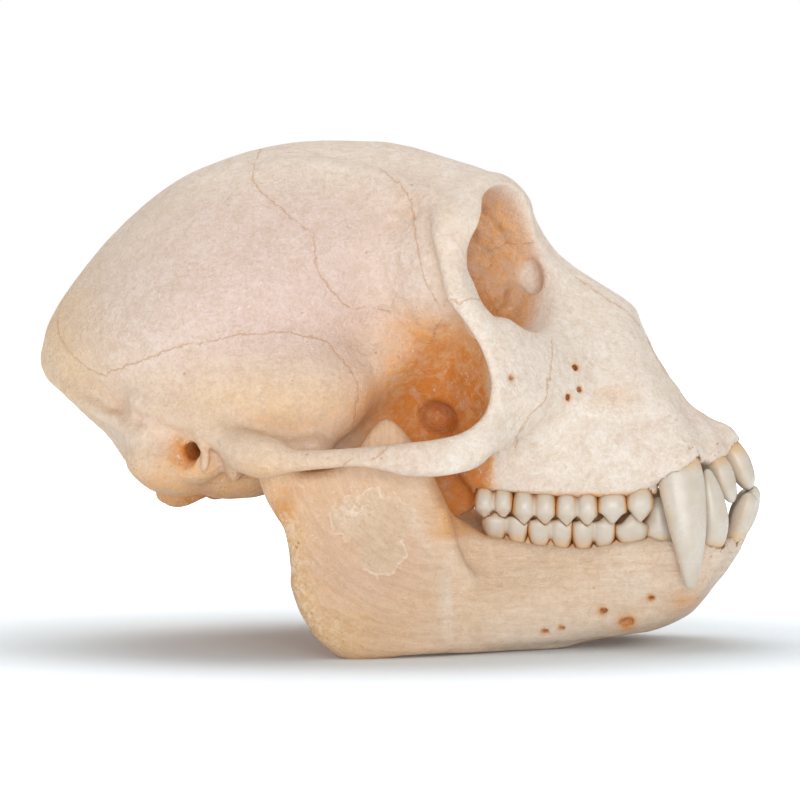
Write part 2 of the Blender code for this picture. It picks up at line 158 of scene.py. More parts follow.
def limb(stations, turn, power=2.0, per_span=6):
    """A bar with an oval section along a smooth curve.

    Each row has a centre, the half size along and the half size across.
    turn is the angle in degrees, seen from above, of the direction that the first half size lies in.
    """
    rows = np.array([(*centre, along, across) for centre, along, across in stations], float)
    line = curve_through(rows, per_span)
    reach = line[:, 3:].max(axis=1)[:, None]
    heading = np.array([np.cos(np.radians(turn)), np.sin(np.radians(turn)), 0.0])

    def at(x, y, z):
        best = np.full(np.shape(x), FAR)
        for a, b in zip(line[:-1], line[1:]):
            ab = b[:3] - a[:3]
            length = float(np.sqrt(ab @ ab))
            ahead = ab / length
            along = heading - ahead * (heading @ ahead)
            along /= np.linalg.norm(along)
            across = np.cross(ahead, along)
            gone = (x - a[0], y - a[1], z - a[2])
            t = np.clip(sum(gone[i] * ahead[i] for i in range(3)) / length, 0, 1)
            off = [gone[i] - t * ab[i] for i in range(3)]
            wide = a[3] + t * (b[3] - a[3])
            thick = a[4] + t * (b[4] - a[4])
            u = np.abs(sum(off[i] * along[i] for i in range(3))) / wide
            v = np.abs(sum(off[i] * across[i] for i in range(3))) / thick
            thin = np.minimum(wide, thick)
            s = np.abs(sum(off[i] * ahead[i] for i in range(3))) / thin
            q = (u ** power + v ** power + s ** power) ** (1 / power)
            best = np.minimum(best, (q - 1) * thin)
        return best

    return Shape((line[:, :3] - reach).min(axis=0), (line[:, :3] + reach).max(axis=0), at)


def outline_distance(line, u, v):
    """Signed distance, negative inside, from each (u, v) to a closed line."""
    best = np.full(u.shape, 1e9)
    odd = np.zeros(u.shape, bool)
    for a, b in zip(line, np.roll(line, -1, axis=0)):
        e = b - a
        wx, wy = u - a[0], v - a[1]
        t = np.clip((wx * e[0] + wy * e[1]) / max(float(e @ e), 1e-12), 0, 1)
        best = np.minimum(best, (wx - t * e[0]) ** 2 + (wy - t * e[1]) ** 2)
        if a[1] != b[1]:
            odd ^= ((a[1] > v) != (b[1] > v)) & (u < e[0] * (v - a[1]) / e[1] + a[0])
    return np.where(odd, -1, 1) * np.sqrt(best)


class Chart:
    """A function of x and z, worked out once on a fine grid and read off between its points."""

    STEP = 0.4

    def __init__(self, low, high, make):
        self.low = np.array(low, float)
        size = np.ceil((np.array(high) - self.low) / self.STEP).astype(int) + 1
        x = self.low[0] + self.STEP * np.arange(size[0])[:, None]
        z = self.low[1] + self.STEP * np.arange(size[1])[None, :]
        self.values = np.broadcast_to(make(x + 0 * z, z + 0 * x), size).astype(np.float32)

    def tilt(self):
        """How much longer a step along the chart's surface is than the same step seen from the side."""
        down, across = np.gradient(self.values, self.STEP)
        made = Chart.__new__(Chart)
        made.low = self.low
        made.values = np.sqrt(1 + down ** 2 + across ** 2)
        return made

    def at(self, x, z):
        n = self.values.shape
        u = np.clip((x - self.low[0]) / self.STEP, 0, n[0] - 1.001)
        v = np.clip((z - self.low[1]) / self.STEP, 0, n[1] - 1.001)
        i, j = u.astype(np.int32), v.astype(np.int32)
        fu, fv = u - i, v - j
        d = self.values
        return ((d[i, j] * (1 - fu) + d[i + 1, j] * fu) * (1 - fv)
                + (d[i, j + 1] * (1 - fu) + d[i + 1, j + 1] * fu) * fv)


def blurred(values, passes):
    """The grid of values, evened out this many times."""
    for _ in range(passes):
        p = np.pad(values, 1, mode="edge")
        values = (p[:-2, 1:-1] + 2 * p[1:-1, 1:-1] + p[2:, 1:-1]) / 4
        p = np.pad(values, 1, mode="edge")
        values = (p[1:-1, :-2] + 2 * p[1:-1, 1:-1] + p[1:-1, 2:]) / 4
    return values


def plate(outline, inner, outer, edge, soft=0.0):
    """A solid with this outline seen from the side, lying between y = inner and y = outer.

    inner, outer and edge, the rounding, are functions of x and z. With no inner it reaches to the middle
    plane. soft rounds the outline's own corners away from its edge.
    """
    line = curve_through(outline, 6, closed=True)
    margin = 9.0
    low, high = line.min(axis=0) - margin, line.max(axis=0) + margin

    def rim(x, z):
        d = outline_distance(line, x, z)
        if soft:
            deep = blurred(d, int(2 * (soft / Chart.STEP) ** 2))
            d = d + (deep - d) * ease(-d, 0.5 * soft, 2.5 * soft)
        return d

    rim_chart = Chart(low, high, rim)
    edge_chart = Chart(low, high, edge)
    outer_chart = Chart(low, high, outer)
    outer_tilt = outer_chart.tilt()
    inner_chart = Chart(low, high, inner) if inner else None
    inner_tilt = inner_chart.tilt() if inner else None

    def at(x, y, z):
        side = (y - outer_chart.at(x, z)) / outer_tilt.at(x, z)
        if inner:
            under = (inner_chart.at(x, z) - y) / inner_tilt.at(x, z)
            side = meet(side, under, 1.0)
        return rounded(side, rim_chart.at(x, z), edge_chart.at(x, z))

    return Shape((low[0] + margin, -FAR, low[1] + margin), (high[0] - margin, FAR, high[1] - margin), at)


class Solid:
    """Shapes joined and cut in order, over the half of the skull with y from 0 up."""

    def __init__(self, low, high):
        self.low, self.high = np.array(low, float), np.array(high, float)
        self.relief = None
        self.steps = []

    def add(self, shape, blend=2.0):
        self.steps.append((shape, blend, False))

    def cut(self, shape, blend=1.0):
        self.steps.append((shape, blend, True))

    def at(self, x, y, z):
        d = np.full(x.shape, FAR)
        for shape, blend, cutting in self.steps:
            reach = (blend or 0) + 3
            low, high = shape.low - reach, shape.high + reach
            near = np.flatnonzero((x > low[0]) & (x < high[0]) & (z > low[2]) & (z < high[2])
                                  & (y > low[1]) & (y < high[1]))
            if len(near) == 0:
                continue
            other = shape.at(x[near], y[near], z[near])
            d[near] = meet(d[near], -other, blend) if cutting else join(d[near], other, blend)
        return d

    def grid(self, step, coarse=3, band=2.2):
        """The distance on a grid of this step, exact near the surface only."""
        start = self.low
        count = np.ceil((self.high - start) / (step * coarse)).astype(int) + 1
        d = self.coarse_grid(start, step * coarse, count)
        for axis in range(3):
            d = finer(d, axis, coarse)
        near = np.flatnonzero(np.abs(d.ravel()) < band)
        index = np.unravel_index(near, d.shape)
        x, y, z = (start[i] + step * index[i] for i in range(3))
        exact = self.at(x, y, z)
        if self.relief:
            exact = exact + self.relief(x, y, z)
        d.ravel()[near] = exact
        return d

    def coarse_grid(self, start, step, count):
        x, y, z = np.meshgrid(*(start[i] + step * np.arange(count[i]) for i in range(3)), indexing="ij")
        return self.at(x.ravel(), y.ravel(), z.ravel()).reshape(count)


def finer(d, axis, times):
    """The array with its steps along one axis split evenly."""
    d = np.moveaxis(d, axis, 0)
    parts = [d[:-1] * (1 - k / times) + d[1:] * (k / times) for k in range(times)]
    made = np.stack(parts, axis=1).reshape(-1, *d.shape[1:])
    made = np.concatenate([made, d[-1:]])
    return np.moveaxis(made, 0, axis)


def mirrored(d, start, step):
    """The grid of both halves, and its low corner. The half's grid starts at y = 0."""
    both = np.concatenate([d[:, :0:-1], d], axis=1)
    return both, np.array([start[0], -step * (d.shape[1] - 1), start[2]])


def surface_net(d, low, step):
    """Vertices and quads of the surface where d is 0."""
    inside = d < 0
    n = d.shape
    count = np.zeros([s - 1 for s in n], np.int8)
    corners = [(i, j, k) for i in (0, 1) for j in (0, 1) for k in (0, 1)]
    for i, j, k in corners:
        count += inside[i:n[0] - 1 + i, j:n[1] - 1 + j, k:n[2] - 1 + k]
    active = np.argwhere((count > 0) & (count < 8))
    index = np.full(count.shape, -1, np.int32)
    index[tuple(active.T)] = np.arange(len(active))
    total, hits = np.zeros((len(active), 3)), np.zeros(len(active))
    values = {c: d[tuple((active + c).T)] for c in corners}
    for a in corners:
        for axis in range(3):
            if a[axis]:
                continue
            b = tuple(1 if i == axis else a[i] for i in range(3))
            crosses = (values[a] < 0) != (values[b] < 0)
            t = values[a] / np.where(crosses, values[a] - values[b], 1)
            place = np.array(a, float) + t[:, None] * (np.arange(3) == axis)
            total[crosses] += place[crosses]
            hits += crosses
    verts = (active + total / hits[:, None]) * step + low
    return verts, net_faces(inside, index, n)


def net_faces(inside, index, n):
    """One quad round each grid edge that the surface crosses."""
    quads = []
    for axis in range(3):
        u, v = (axis + 1) % 3, (axis + 2) % 3
        first, second = [slice(None)] * 3, [slice(None)] * 3
        first[axis], second[axis] = slice(0, -1), slice(1, None)
        edges = np.argwhere(inside[tuple(first)] != inside[tuple(second)])
        whole = (edges[:, u] > 0) & (edges[:, v] > 0) & (edges[:, u] < n[u] - 1) & (edges[:, v] < n[v] - 1)
        edges = edges[whole]
        starts = inside[tuple(edges.T)]
        du, dv = np.eye(3, dtype=int)[u], np.eye(3, dtype=int)[v]
        quad = np.stack([index[tuple((edges - o).T)] for o in (0 * du, du, du + dv, dv)], axis=1)
        quad[~starts] = quad[~starts][:, ::-1]
        quads.append(quad)
    return np.concatenate(quads)


def sample(d, low, step, points):
    """Values of the grid between its points."""
    p = (points - low) / step
    i = np.clip(np.floor(p).astype(int), 0, np.array(d.shape) - 2)
    f = p - i
    out = np.zeros(len(points))
    for a in (0, 1):
        for b in (0, 1):
            for c in (0, 1):
                share = ((f[:, 0] if a else 1 - f[:, 0]) * (f[:, 1] if b else 1 - f[:, 1])
                         * (f[:, 2] if c else 1 - f[:, 2]))
                out += share * d[i[:, 0] + a, i[:, 1] + b, i[:, 2] + c]
    return out


def slope(d, low, step, points):
    """How fast the grid's values rise at each point, along each axis."""
    e = step * 0.75
    parts = [sample(d, low, step, points + e * axis) - sample(d, low, step, points - e * axis)
             for axis in np.eye(3)]
    return np.stack(parts, axis=1) / (2 * e)


def settle(d, low, step, verts, quads, rounds=2):
    """Evens out the vertices and puts them back on the surface."""
    pairs = np.concatenate([quads[:, [0, 1]], quads[:, [1, 2]], quads[:, [2, 3]], quads[:, [3, 0]]])
    hits = sum(np.bincount(pairs[:, a], minlength=len(verts)) for a in (0, 1))
    for _ in range(rounds):
        total = np.zeros_like(verts)
        for a, b in ((0, 1), (1, 0)):
            for axis in range(3):
                total[:, axis] += np.bincount(pairs[:, a], weights=verts[pairs[:, b], axis],
                                              minlength=len(verts))
        verts = verts + 0.5 * (total / np.maximum(hits, 1)[:, None] - verts)
        g = slope(d, low, step, verts)
        size = np.maximum((g * g).sum(axis=1), 0.05)
        move = -(sample(d, low, step, verts) / size)[:, None] * g
        far = np.linalg.norm(move, axis=1, keepdims=True)
        verts = verts + move * np.minimum(1, 0.5 * step / np.maximum(far, 1e-9))
    return verts


def value_noise(x, y, z, size, seed):
    """Smooth noise from -1 to 1 whose spots are about this size across."""
    cells = 32
    table = np.random.default_rng(seed).uniform(-1, 1, (cells,) * 3).astype(np.float32)
    p = [np.asarray(q) / size + 1000.0 for q in (x, y, z)]
    i = [np.floor(q).astype(np.int64) for q in p]
    f = [q - j for q, j in zip(p, i)]
    f = [q * q * (3 - 2 * q) for q in f]
    out = 0
    for a in (0, 1):
        for b in (0, 1):
            for c in (0, 1):
                share = ((f[0] if a else 1 - f[0]) * (f[1] if b else 1 - f[1]) * (f[2] if c else 1 - f[2]))
                out = out + share * table[(i[0] + a) % cells, (i[1] + b) % cells, (i[2] + c) % cells]
    return out


# The teeth, for the left side. Cheek teeth: x, y, height of the neck, half length, half width, root end,
# turn.
UPPER_CHEEK = [
    ("premolar_3", (34.95, 11.9, 22.9, 2.08, 2.2, 29.5, -10)),
    ("premolar_4", (31.05, 12.1, 22.7, 2.25, 2.5, 29.5, -6)),
    ("molar_1", (26.05, 12.2, 22.5, 3.1, 2.75, 29.5, -3)),
    ("molar_2", (20.1, 12.3, 22.7, 3.2, 2.85, 29.5, 0)),
    ("molar_3", (14.4, 12.2, 23.0, 2.85, 2.6, 29.0, 4)),
]
LOWER_CHEEK = [
    ("premolar_3", (38.0, 9.8, 15.8, 2.2, 1.6, 8.5, -22)),
    ("premolar_4", (33.8, 10.8, 15.4, 2.55, 1.95, 10.0, -12)),
    ("molar_1", (28.4, 11.1, 15.0, 3.2, 2.15, 9.5, -7)),
    ("molar_2", (22.3, 11.5, 15.2, 3.3, 2.25, 9.5, -4)),
    ("molar_3", (16.0, 12.0, 16.1, 3.35, 2.15, 10.0, -5)),
]
UPPER_FRONT = [
    ("incisor_1", -80, 2.4, [((46.0, 2.3, 29.7), 0.45, 0.45), ((46.9, 2.4, 29.0), 1.1, 1.0),
                             ((47.9, 2.45, 28.2), 1.85, 1.65), ((49.0, 2.5, 26.7), 2.15, 1.8),
                             ((49.85, 2.5, 25.0), 2.22, 1.6), ((50.4, 2.5, 23.8), 2.12, 1.2),
                             ((50.65, 2.5, 23.1), 1.9, 0.7)]),
    ("incisor_2", -56, 2.3, [((42.6, 6.5, 30.6), 0.5, 0.5), ((44.7, 6.7, 28.6), 1.1, 1.1),
                             ((45.9, 6.85, 26.7), 1.5, 1.4), ((46.8, 6.95, 25.1), 1.8, 1.4),
                             ((47.4, 7.0, 23.5), 1.7, 1.2), ((47.9, 7.0, 22.1), 1.25, 0.9),
                             ((48.1, 7.0, 21.3), 0.7, 0.55)]),
    ("canine", -12, 2.2, [((35.6, 9.4, 35.0), 1.1, 0.9), ((38.1, 11.0, 30.5), 2.3, 1.6),
                          ((40.3, 12.1, 26.6), 3.1, 2.1), ((40.95, 12.75, 23.6), 3.3, 2.1),
                          ((41.35, 13.15, 20.8), 3.1, 1.95), ((41.75, 13.5, 18.0), 2.75, 1.75),
                          ((42.05, 13.75, 15.0), 2.2, 1.45), ((42.15, 13.85, 12.2), 1.55, 1.15),
                          ((42.2, 13.9, 10.2), 1.0, 0.85), ((42.2, 13.85, 9.5), 0.62, 0.55)]),
]
LOWER_FRONT = [
    ("incisor_1", -82, 2.4, [((47.0, 1.55, 11.6), 0.4, 0.4), ((48.8, 1.6, 15.0), 0.8, 0.9),
                             ((50.1, 1.65, 17.8), 1.25, 1.4), ((50.8, 1.7, 19.8), 1.45, 1.45),
                             ((51.3, 1.7, 21.3), 1.55, 1.15), ((51.5, 1.7, 22.1), 1.45, 0.7)]),
    ("incisor_2", -66, 2.4, [((46.0, 4.1, 11.4), 0.4, 0.4), ((47.7, 4.5, 14.8), 0.8, 0.9),
                             ((49.1, 4.65, 17.0), 1.3, 1.35), ((49.8, 4.75, 19.0), 1.5, 1.5),
                             ((50.5, 4.8, 20.6), 1.5, 1.25), ((50.8, 4.8, 21.3), 1.3, 0.8)]),
    ("canine", -40, 2.2, [((42.2, 7.6, 8.8), 0.5, 0.5), ((44.1, 8.8, 12.8), 1.15, 1.05),
                          ((45.3, 9.4, 15.6), 1.9, 1.65), ((45.7, 9.6, 18.2), 2.1, 1.7),
                          ((45.4, 9.8, 21.0), 1.85, 1.5), ((44.9, 10.0, 23.6), 1.3, 1.1),
                          ((44.6, 10.1, 25.3), 0.6, 0.5)]),
]
CROWN = {"premolar_3": (4.9, 3.6), "premolar_4": (5.0, 4.0), "molar_1": (5.0, 4.3), "molar_2": (5.1, 4.4),
         "molar_3": (4.5, 4.0)}
LOWER_CROWN = {"premolar_4": (4.6, 3.4), "molar_1": (4.4, 4.2), "molar_2": (4.3, 4.2), "molar_3": (3.9, 3.8)}
TOOTH_GAP = 0.12
SHARP = 0.15


def cheek_tooth(name, row, upper):
    """Crown with its cusps, and roots. w is the height above the neck, towards the other teeth."""
    cx, cy, neck, long, wide, end, turn = row
    way = -1 if upper else 1
    buccal, lingual = (CROWN if upper else LOWER_CROWN)[name]
    c, s = np.cos(np.radians(turn)), np.sin(np.radians(turn))
    molar = name.startswith("molar")
    depth = abs(end - neck)
    lobes = (-0.47, 0.47) if molar else (0.0,)
    lobe_long = 0.55 * long if molar else long
    sizes = [(-depth, 0.28), (-0.5 * depth, 0.50), (-1.0, 0.66), (0, 0.74), (0.25 * lingual, 0.90),
             (0.5 * lingual, 1.0), (0.75 * lingual, 1.0), (lingual, 0.93), (buccal + 0.4, 0.72)]
    size_line = curve_through(sizes, 6)

    def at(x, y, z):
        u = (x - cx) * c + (y - cy) * s
        v = -(x - cx) * s + (y - cy) * c
        w = way * (z - neck)
        size = np.interp(w, size_line[:, 0], size_line[:, 1])
        spread = 1 + 0.10 * ease(-w, 0.5, depth)
        v = v - (0.25 * ease(w, 0, buccal) * (-1 if upper else 1) * 0.8)
        side = None
        for lobe in lobes:
            q = (np.abs((u - lobe * long * spread) / lobe_long) ** 2.6 + np.abs(v / wide) ** 2.6) ** (1 / 2.6)
            d = (q - size) * min(lobe_long, wide)
            side = d if side is None else join(side, d, 0.3 if molar else None)
        top = np.full(x.shape, min(buccal, lingual) - 0.8)
        for lobe in lobes:
            loph = min(buccal, lingual) - 0.9 - 1.2 * np.abs(u - lobe * long)
            top = meet(top, loph, 0.4)
            for across, tip in ((0.50 * wide, buccal), (-0.50 * wide, lingual)):
                gone = np.sqrt((u - lobe * long) ** 2 + (v - across) ** 2 + 0.05)
                top = meet(top, tip - 1.2 * gone, 0.4)
        d = meet(side, (w - top) / 1.35, 0.55)
        return meet(d, -w - depth, 1.0)

    reach = max(long, wide) * 1.25
    low, high = sorted((end, neck + way * (buccal + 0.5)))
    return Shape((cx - reach, cy - reach, low), (cx + reach, cy + reach, high), at)


def sectorial(row):
    """The lower third premolar, whose long front slope hones the upper canine."""
    cx, cy, neck, _, _, end, turn = row
    blade = [((cx + 0.2, cy, end), 0.8, 0.7), ((cx + 0.5, cy, 12.4), 1.7, 1.2),
             ((cx + 0.5, cy, neck), 2.2, 1.5), ((cx + 0.3, cy + 0.1, 18.0), 2.25, 1.5),
             ((cx - 0.1, cy + 0.2, 20.0), 1.6, 1.2), ((cx - 0.3, cy + 0.2, 21.2), 0.8, 0.7)]
    body = limb(blade, turn, 2.2)
    heel = ellipsoid((cx - 1.5, cy, neck + 1.2), (1.2, 1.2, 1.6))
    return Shape(np.minimum(body.low, heel.low), np.maximum(body.high, heel.high),
                 lambda x, y, z: join(body.at(x, y, z), heel.at(x, y, z), 1.0))


def tooth_shapes():
    """Every tooth of the left side: its jaw, its name and its shape."""
    made = []
    for jaw, cheek, front in (("upper", UPPER_CHEEK, UPPER_FRONT), ("lower", LOWER_CHEEK, LOWER_FRONT)):
        for name, turn, power, stations in front:
            made.append((jaw, name, limb(stations, turn, power)))
        for name, row in cheek:
            if jaw == "lower" and name == "premolar_3":
                made.append((jaw, name, sectorial(row)))
            else:
                made.append((jaw, name, cheek_tooth(name, row, jaw == "upper")))
    return made


def tooth_solid(shapes, index):
    """One tooth, trimmed where an earlier one would touch it."""
    shape = shapes[index][2]
    s = Solid(shape.low - 0.6, shape.high + 0.6)
    s.add(shape, None)
    for _, _, other in shapes[:index]:
        if np.all(other.low <= s.high) and np.all(other.high >= s.low):
            s.cut(grown(other, 0.5 * TOOTH_GAP), SHARP)
    return s


def grown(shape, by):
    """The shape, larger on every side."""
    return Shape(shape.low - by, shape.high + by, lambda x, y, z: shape.at(x, y, z) - by)


# The cranium. Points are (x, z) as seen from the side, unless they have three numbers.

BRAINCASE = [(-52.4, 43.9), (-51.0, 48.0), (-48.7, 51.5), (-43.6, 57.7), (-39.2, 62.0), (-34.8, 65.7),
             (-30.5, 68.3), (-25.5, 70.3), (-20.5, 71.8), (-14.7, 72.9), (-8.8, 73.1), (-2.9, 72.9),
             (1.5, 72.0), (5.8, 70.7), (9.5, 69.6), (12.4, 68.6), (14.4, 66.8), (14.6, 63), (13, 58),
             (9, 51), (3, 44), (-3, 37.5), (-7, 32), (-11, 28.6), (-18, 26.2), (-24, 23.0), (-30.2, 21.0),
             (-34.7, 22.0), (-39.8, 25.4), (-43.1, 30.0), (-47.2, 33.9), (-51.7, 38.8)]
BRAIN_WIDTH = [(-56, 14), (-50, 18.5), (-44, 22.0), (-37, 24.8), (-30, 26.3), (-23, 26.6), (-16, 25.9),
               (-9, 24.6), (-2, 22.4), (4, 20.8), (9, 20.6), (13, 21.0), (18, 21)]
HOLLOW = [(-49.8, 44.2), (-48.6, 48), (-46.8, 51.5), (-42.0, 57.0), (-37.6, 61.2), (-33.6, 64.2),
          (-29.6, 66.4), (-24.9, 68.2), (-20.1, 69.4), (-14.5, 70.2), (-8.8, 70.4), (-3.2, 70.1), (1.0, 69.2),
          (3.5, 68.0), (4.0, 66.2), (1.5, 63.5), (-3, 58.5), (-7.5, 52), (-9, 44), (-11, 36), (-15, 31),
          (-21, 28.5), (-26, 26), (-31, 24.5), (-36, 26), (-40.5, 30), (-44, 34.5), (-48, 39)]

MUZZLE = [(17.0, 64.6), (18.7, 63.5), (20.0, 61.2), (21.6, 58.6), (23.4, 56.4), (25.5, 54.6), (27.7, 53.2),
          (30.6, 51.4), (32.8, 50.1), (34.6, 48.4), (35.9, 45.9), (37.2, 43.3), (39.1, 40.4), (40.8, 37.9),
          (43.0, 35.3), (45.2, 33.1), (47.2, 31.1), (48.1, 29.9), (47.6, 28.7), (45.6, 27.4), (42.1, 26.8),
          (39.7, 25.4), (37.9, 24.1), (35.8, 23.1), (32.2, 22.1), (25.9, 21.8), (20.9, 22.2), (15.2, 22.8),
          (11.0, 23.3), (9.2, 25.5), (8.4, 30), (8.5, 38), (9, 46), (11, 54), (13, 62), (15.0, 64.9)]

# How far out the face reaches: rows of height and then (x, y) pairs.
FACE_WIDTH = [
    (20, [(8, 12.4), (12, 14.2), (16, 15.0), (20, 15.2), (24, 15.0), (28, 14.7), (32, 14.5), (36, 14.2),
          (40, 12.8), (44, 9.5), (48, 5)]),
    (24, [(8, 13), (12, 14.8), (16, 15.6), (20, 15.8), (24, 15.6), (28, 15.2), (32, 14.9), (36, 14.6),
          (40, 14.5), (43, 12.8), (46, 9.4), (48, 6.2), (50, 3)]),
    (28, [(8, 13.5), (12, 15), (16, 16), (20, 16.3), (24, 16.1), (28, 15.7), (32, 15.1), (36, 14.8),
          (40, 14.2), (43, 12.2), (46, 8.8), (48, 5.8), (50, 3)]),
    (32, [(8, 13.5), (12, 16.5), (16, 20.5), (20, 20), (22, 18.2), (24, 17), (28, 15.6), (32, 14.6), (36, 14),
          (40, 12.6), (44, 9.4), (47, 6)]),
    (36, [(8, 13.5), (12, 18), (16, 24), (18, 25), (20, 23.8), (22, 21.3), (24, 19), (26, 17), (28, 15.5),
          (32, 13.8), (36, 12.6), (40, 10.2), (44, 7)]),
    (40, [(8, 13.5), (12, 19), (16, 25), (18, 24.8), (20, 22.5), (22, 20), (24, 17.5), (26, 15.3), (28, 13.6),
          (32, 12), (36, 10.5), (40, 8.2)]),
    (44, [(8, 14.5), (12, 20), (16, 25.5), (18, 23.5), (20, 20.5), (22, 17), (24, 14), (26, 12.3), (28, 11.2),
          (32, 9.8), (36, 7.8), (40, 6)]),
    (48, [(8, 14), (12, 20), (16, 21.8), (18, 19.6), (20, 16), (22, 11), (24, 9), (26, 8.3), (28, 7.6),
          (32, 6.4), (36, 4.6)]),
    (52, [(8, 10), (16, 9), (20, 7.6), (22, 6.9), (24, 6.2), (28, 4.6), (32, 3.6)]),
    (56, [(8, 9), (14, 7.0), (18, 6.2), (20, 5.8), (22, 4.9), (24, 3.4), (28, 2)]),
    (60, [(8, 9), (14, 7.2), (16, 6.6), (18, 5.8), (20, 4.0), (24, 2)]),
    (66, [(8, 10), (14, 8), (16, 7), (20, 4)]),
]

CHEEK = [(9.4, 62.6), (6.6, 62.0), (6.2, 59.0), (6.9, 56.1), (8.0, 51.2), (8.9, 49.2), (11.0, 46.6),
         (13.1, 43.0), (14.3, 39.6), (14.4, 36.8), (13.5, 34.0), (11.7, 32.3), (9.2, 31.2), (5.7, 30.6),
         (2.3, 30.3), (-1.8, 29.9), (-5.9, 29.5), (-11.4, 29.3), (-16.1, 29.4), (-20.0, 30.3), (-22.0, 29.4),
         (-20.4, 27.0), (-17, 26.3), (-12.8, 26.2), (-8.7, 26.6), (-5.2, 27.0), (-2.5, 26.9), (2.3, 25.8),
         (5.0, 25.6), (7.8, 25.6), (11.2, 26.1), (13.0, 26.8), (15.1, 28.5), (17.0, 29.4), (19.0, 31.0),
         (22.0, 33.4), (26.0, 36), (28, 40), (26.5, 43.6), (22.5, 44.0), (19.2, 44.3), (17.1, 45.2),
         (15.2, 46.9), (13.4, 48.9), (12.0, 50.9), (11.0, 53.0), (10.8, 55.4), (10.9, 58.2), (11.1, 61.5)]
CHEEK_WIDTH = [
    (24, [(-26, 26), (-20, 29.2), (-15, 31.7), (-10, 32.8), (-4, 33.2), (2, 32.8), (8, 31.2), (12, 29.2),
          (16, 25), (20, 20), (24, 16), (30, 15)]),
    (28, [(-26, 26), (-20, 29.4), (-15, 32.0), (-10, 33.2), (-4, 33.6), (2, 33.2), (8, 31.7), (12, 29.8),
          (14, 28.2), (16, 25.2), (20, 19.5), (24, 16), (30, 15)]),
    (32, [(-26, 26), (-20, 29.2), (-15, 31.7), (-10, 32.9), (-4, 33.3), (2, 33.0), (8, 31.7), (12, 30.0),
          (14, 28.9), (16, 26.6), (18, 23.2), (20, 20.2), (22, 18.2), (24, 17), (28, 15.4)]),
    (36, [(-26, 26), (4, 32), (8, 31.4), (12, 30.3), (14, 29.6), (16, 28.4), (18, 26.3), (20, 23.8),
          (22, 21.3), (24, 19), (26, 17), (28, 15.4)]),
    (40, [(-26, 26), (4, 31.4), (8, 30.8), (12, 29.8), (14, 29.1), (16, 27.8), (18, 25.5), (20, 22.5),
          (22, 20), (24, 17.5), (26, 15.3), (28, 13.6)]),
    (44, [(-26, 26), (4, 30.4), (8, 30), (12, 29.2), (14, 28.3), (16, 26.6), (18, 24), (20, 20.5), (22, 17),
          (24, 14), (26, 12.3), (28, 11.2)]),
    (48, [(-26, 26), (4, 29), (8, 28.9), (12, 28.2), (14, 27.2), (16, 25), (18, 21), (20, 17), (24, 10)]),
    (52, [(-26, 26), (4, 28.2), (8, 28.2), (12, 27.5), (14, 26.4), (18, 22)]),
    (56, [(-26, 26), (4, 27.5), (8, 27.6), (12, 26.8), (14, 26)]),
    (60, [(-26, 26), (2, 26.6), (6, 26.9), (10, 26.5), (12, 25.8)]),
    (64, [(-26, 24), (2, 24.8), (6, 25.2), (10, 24.8), (12, 24)]),
    (68, [(-26, 22), (2, 22), (6, 22), (12, 21.5)]),
]

NOSE = [(33.6, 47.6), (38, 50), (46, 46), (52, 38), (51, 32), (45.6, 31.4), (43.2, 32.2), (40.0, 31.6),
        (34, 30.4), (24, 30.2), (14, 28.6), (8, 25.6), (2, 24.6), (0.5, 27), (4, 30.4), (12, 35), (20, 41),
        (26, 44.6), (30.5, 46.8)]
PALATE = [(44.4, 24), (43.0, 27.0), (39, 28.0), (32, 27.9), (24, 27.4), (16, 26.6), (10.4, 25.6), (6, 23),
          (4, 10), (44.4, 10)]
PALATE_WIDTH = [(2, 8.6), (10, 9.2), (20, 9.4), (32, 8.9), (38, 7.8), (41, 6.0), (44.4, 3.4)]
BRAIN_WALL = 2.6
WING_OUT = [(11.5, 33), (12.3, 21.8), (9.6, 19.0), (6.4, 17.8), (3.0, 17.4), (1.6, 18.6), (-0.6, 22.0),
            (-4.5, 25.5), (-10, 28.0), (-12, 31), (-6, 36), (4, 40)]
WING_IN = [(11.5, 31), (11.0, 21.4), (7.8, 19.6), (5.2, 17.8), (4.2, 18.4), (3.4, 22), (0, 25.4), (-4, 27),
           (-3, 32), (5, 35)]
SPHENOID = [(-14, 30.5), (-6, 37), (2, 46), (9, 54), (13, 52), (14, 30), (9, 27), (2, 27.2), (-6, 27.0),
            (-14, 27.0)]
SPHENOID_WIDTH = [
    (24, [(-16, 12), (-6, 9.5), (2, 9), (8, 10.5), (14, 12)]),
    (30, [(-16, 15), (-6, 11.0), (2, 10), (8, 11.5), (14, 13)]),
    (36, [(-16, 21), (-6, 17), (2, 13), (8, 12.8), (14, 14)]),
    (42, [(-16, 24), (-6, 21), (2, 17), (8, 15), (14, 16)]),
    (48, [(-16, 25), (-6, 22), (2, 19), (8, 17), (14, 18)]),
    (56, [(-16, 25), (-6, 22), (2, 20), (8, 18), (14, 18)]),
]
NOSE_WIDTH = [(29, 2.0), (31.4, 3.0), (33, 4.3), (35.5, 5.1), (38, 5.2), (41, 4.7), (44, 3.5), (46.4, 2.0),
              (48, 1.0), (51, 0.6)]


# Small holes for nerves and vessels: x, y, z and half width.
PITS = [(25.6, 14.9, 40.2, 0.55), (24.6, 17.6, 36.2, 0.5), (26.3, 15.8, 37.2, 0.35), (17.2, 26.4, 39.1, 0.3),
        (28.0, 10.6, 46.2, 0.3), (34.6, 9.6, 43.4, 0.25), (21.0, 5.6, 46.8, 0.5), (19.6, 5.2, 48.8, 0.35),
        (13.6, 6.0, 50.2, 0.4), (-13.2, 24.6, 57.6, 0.2)]


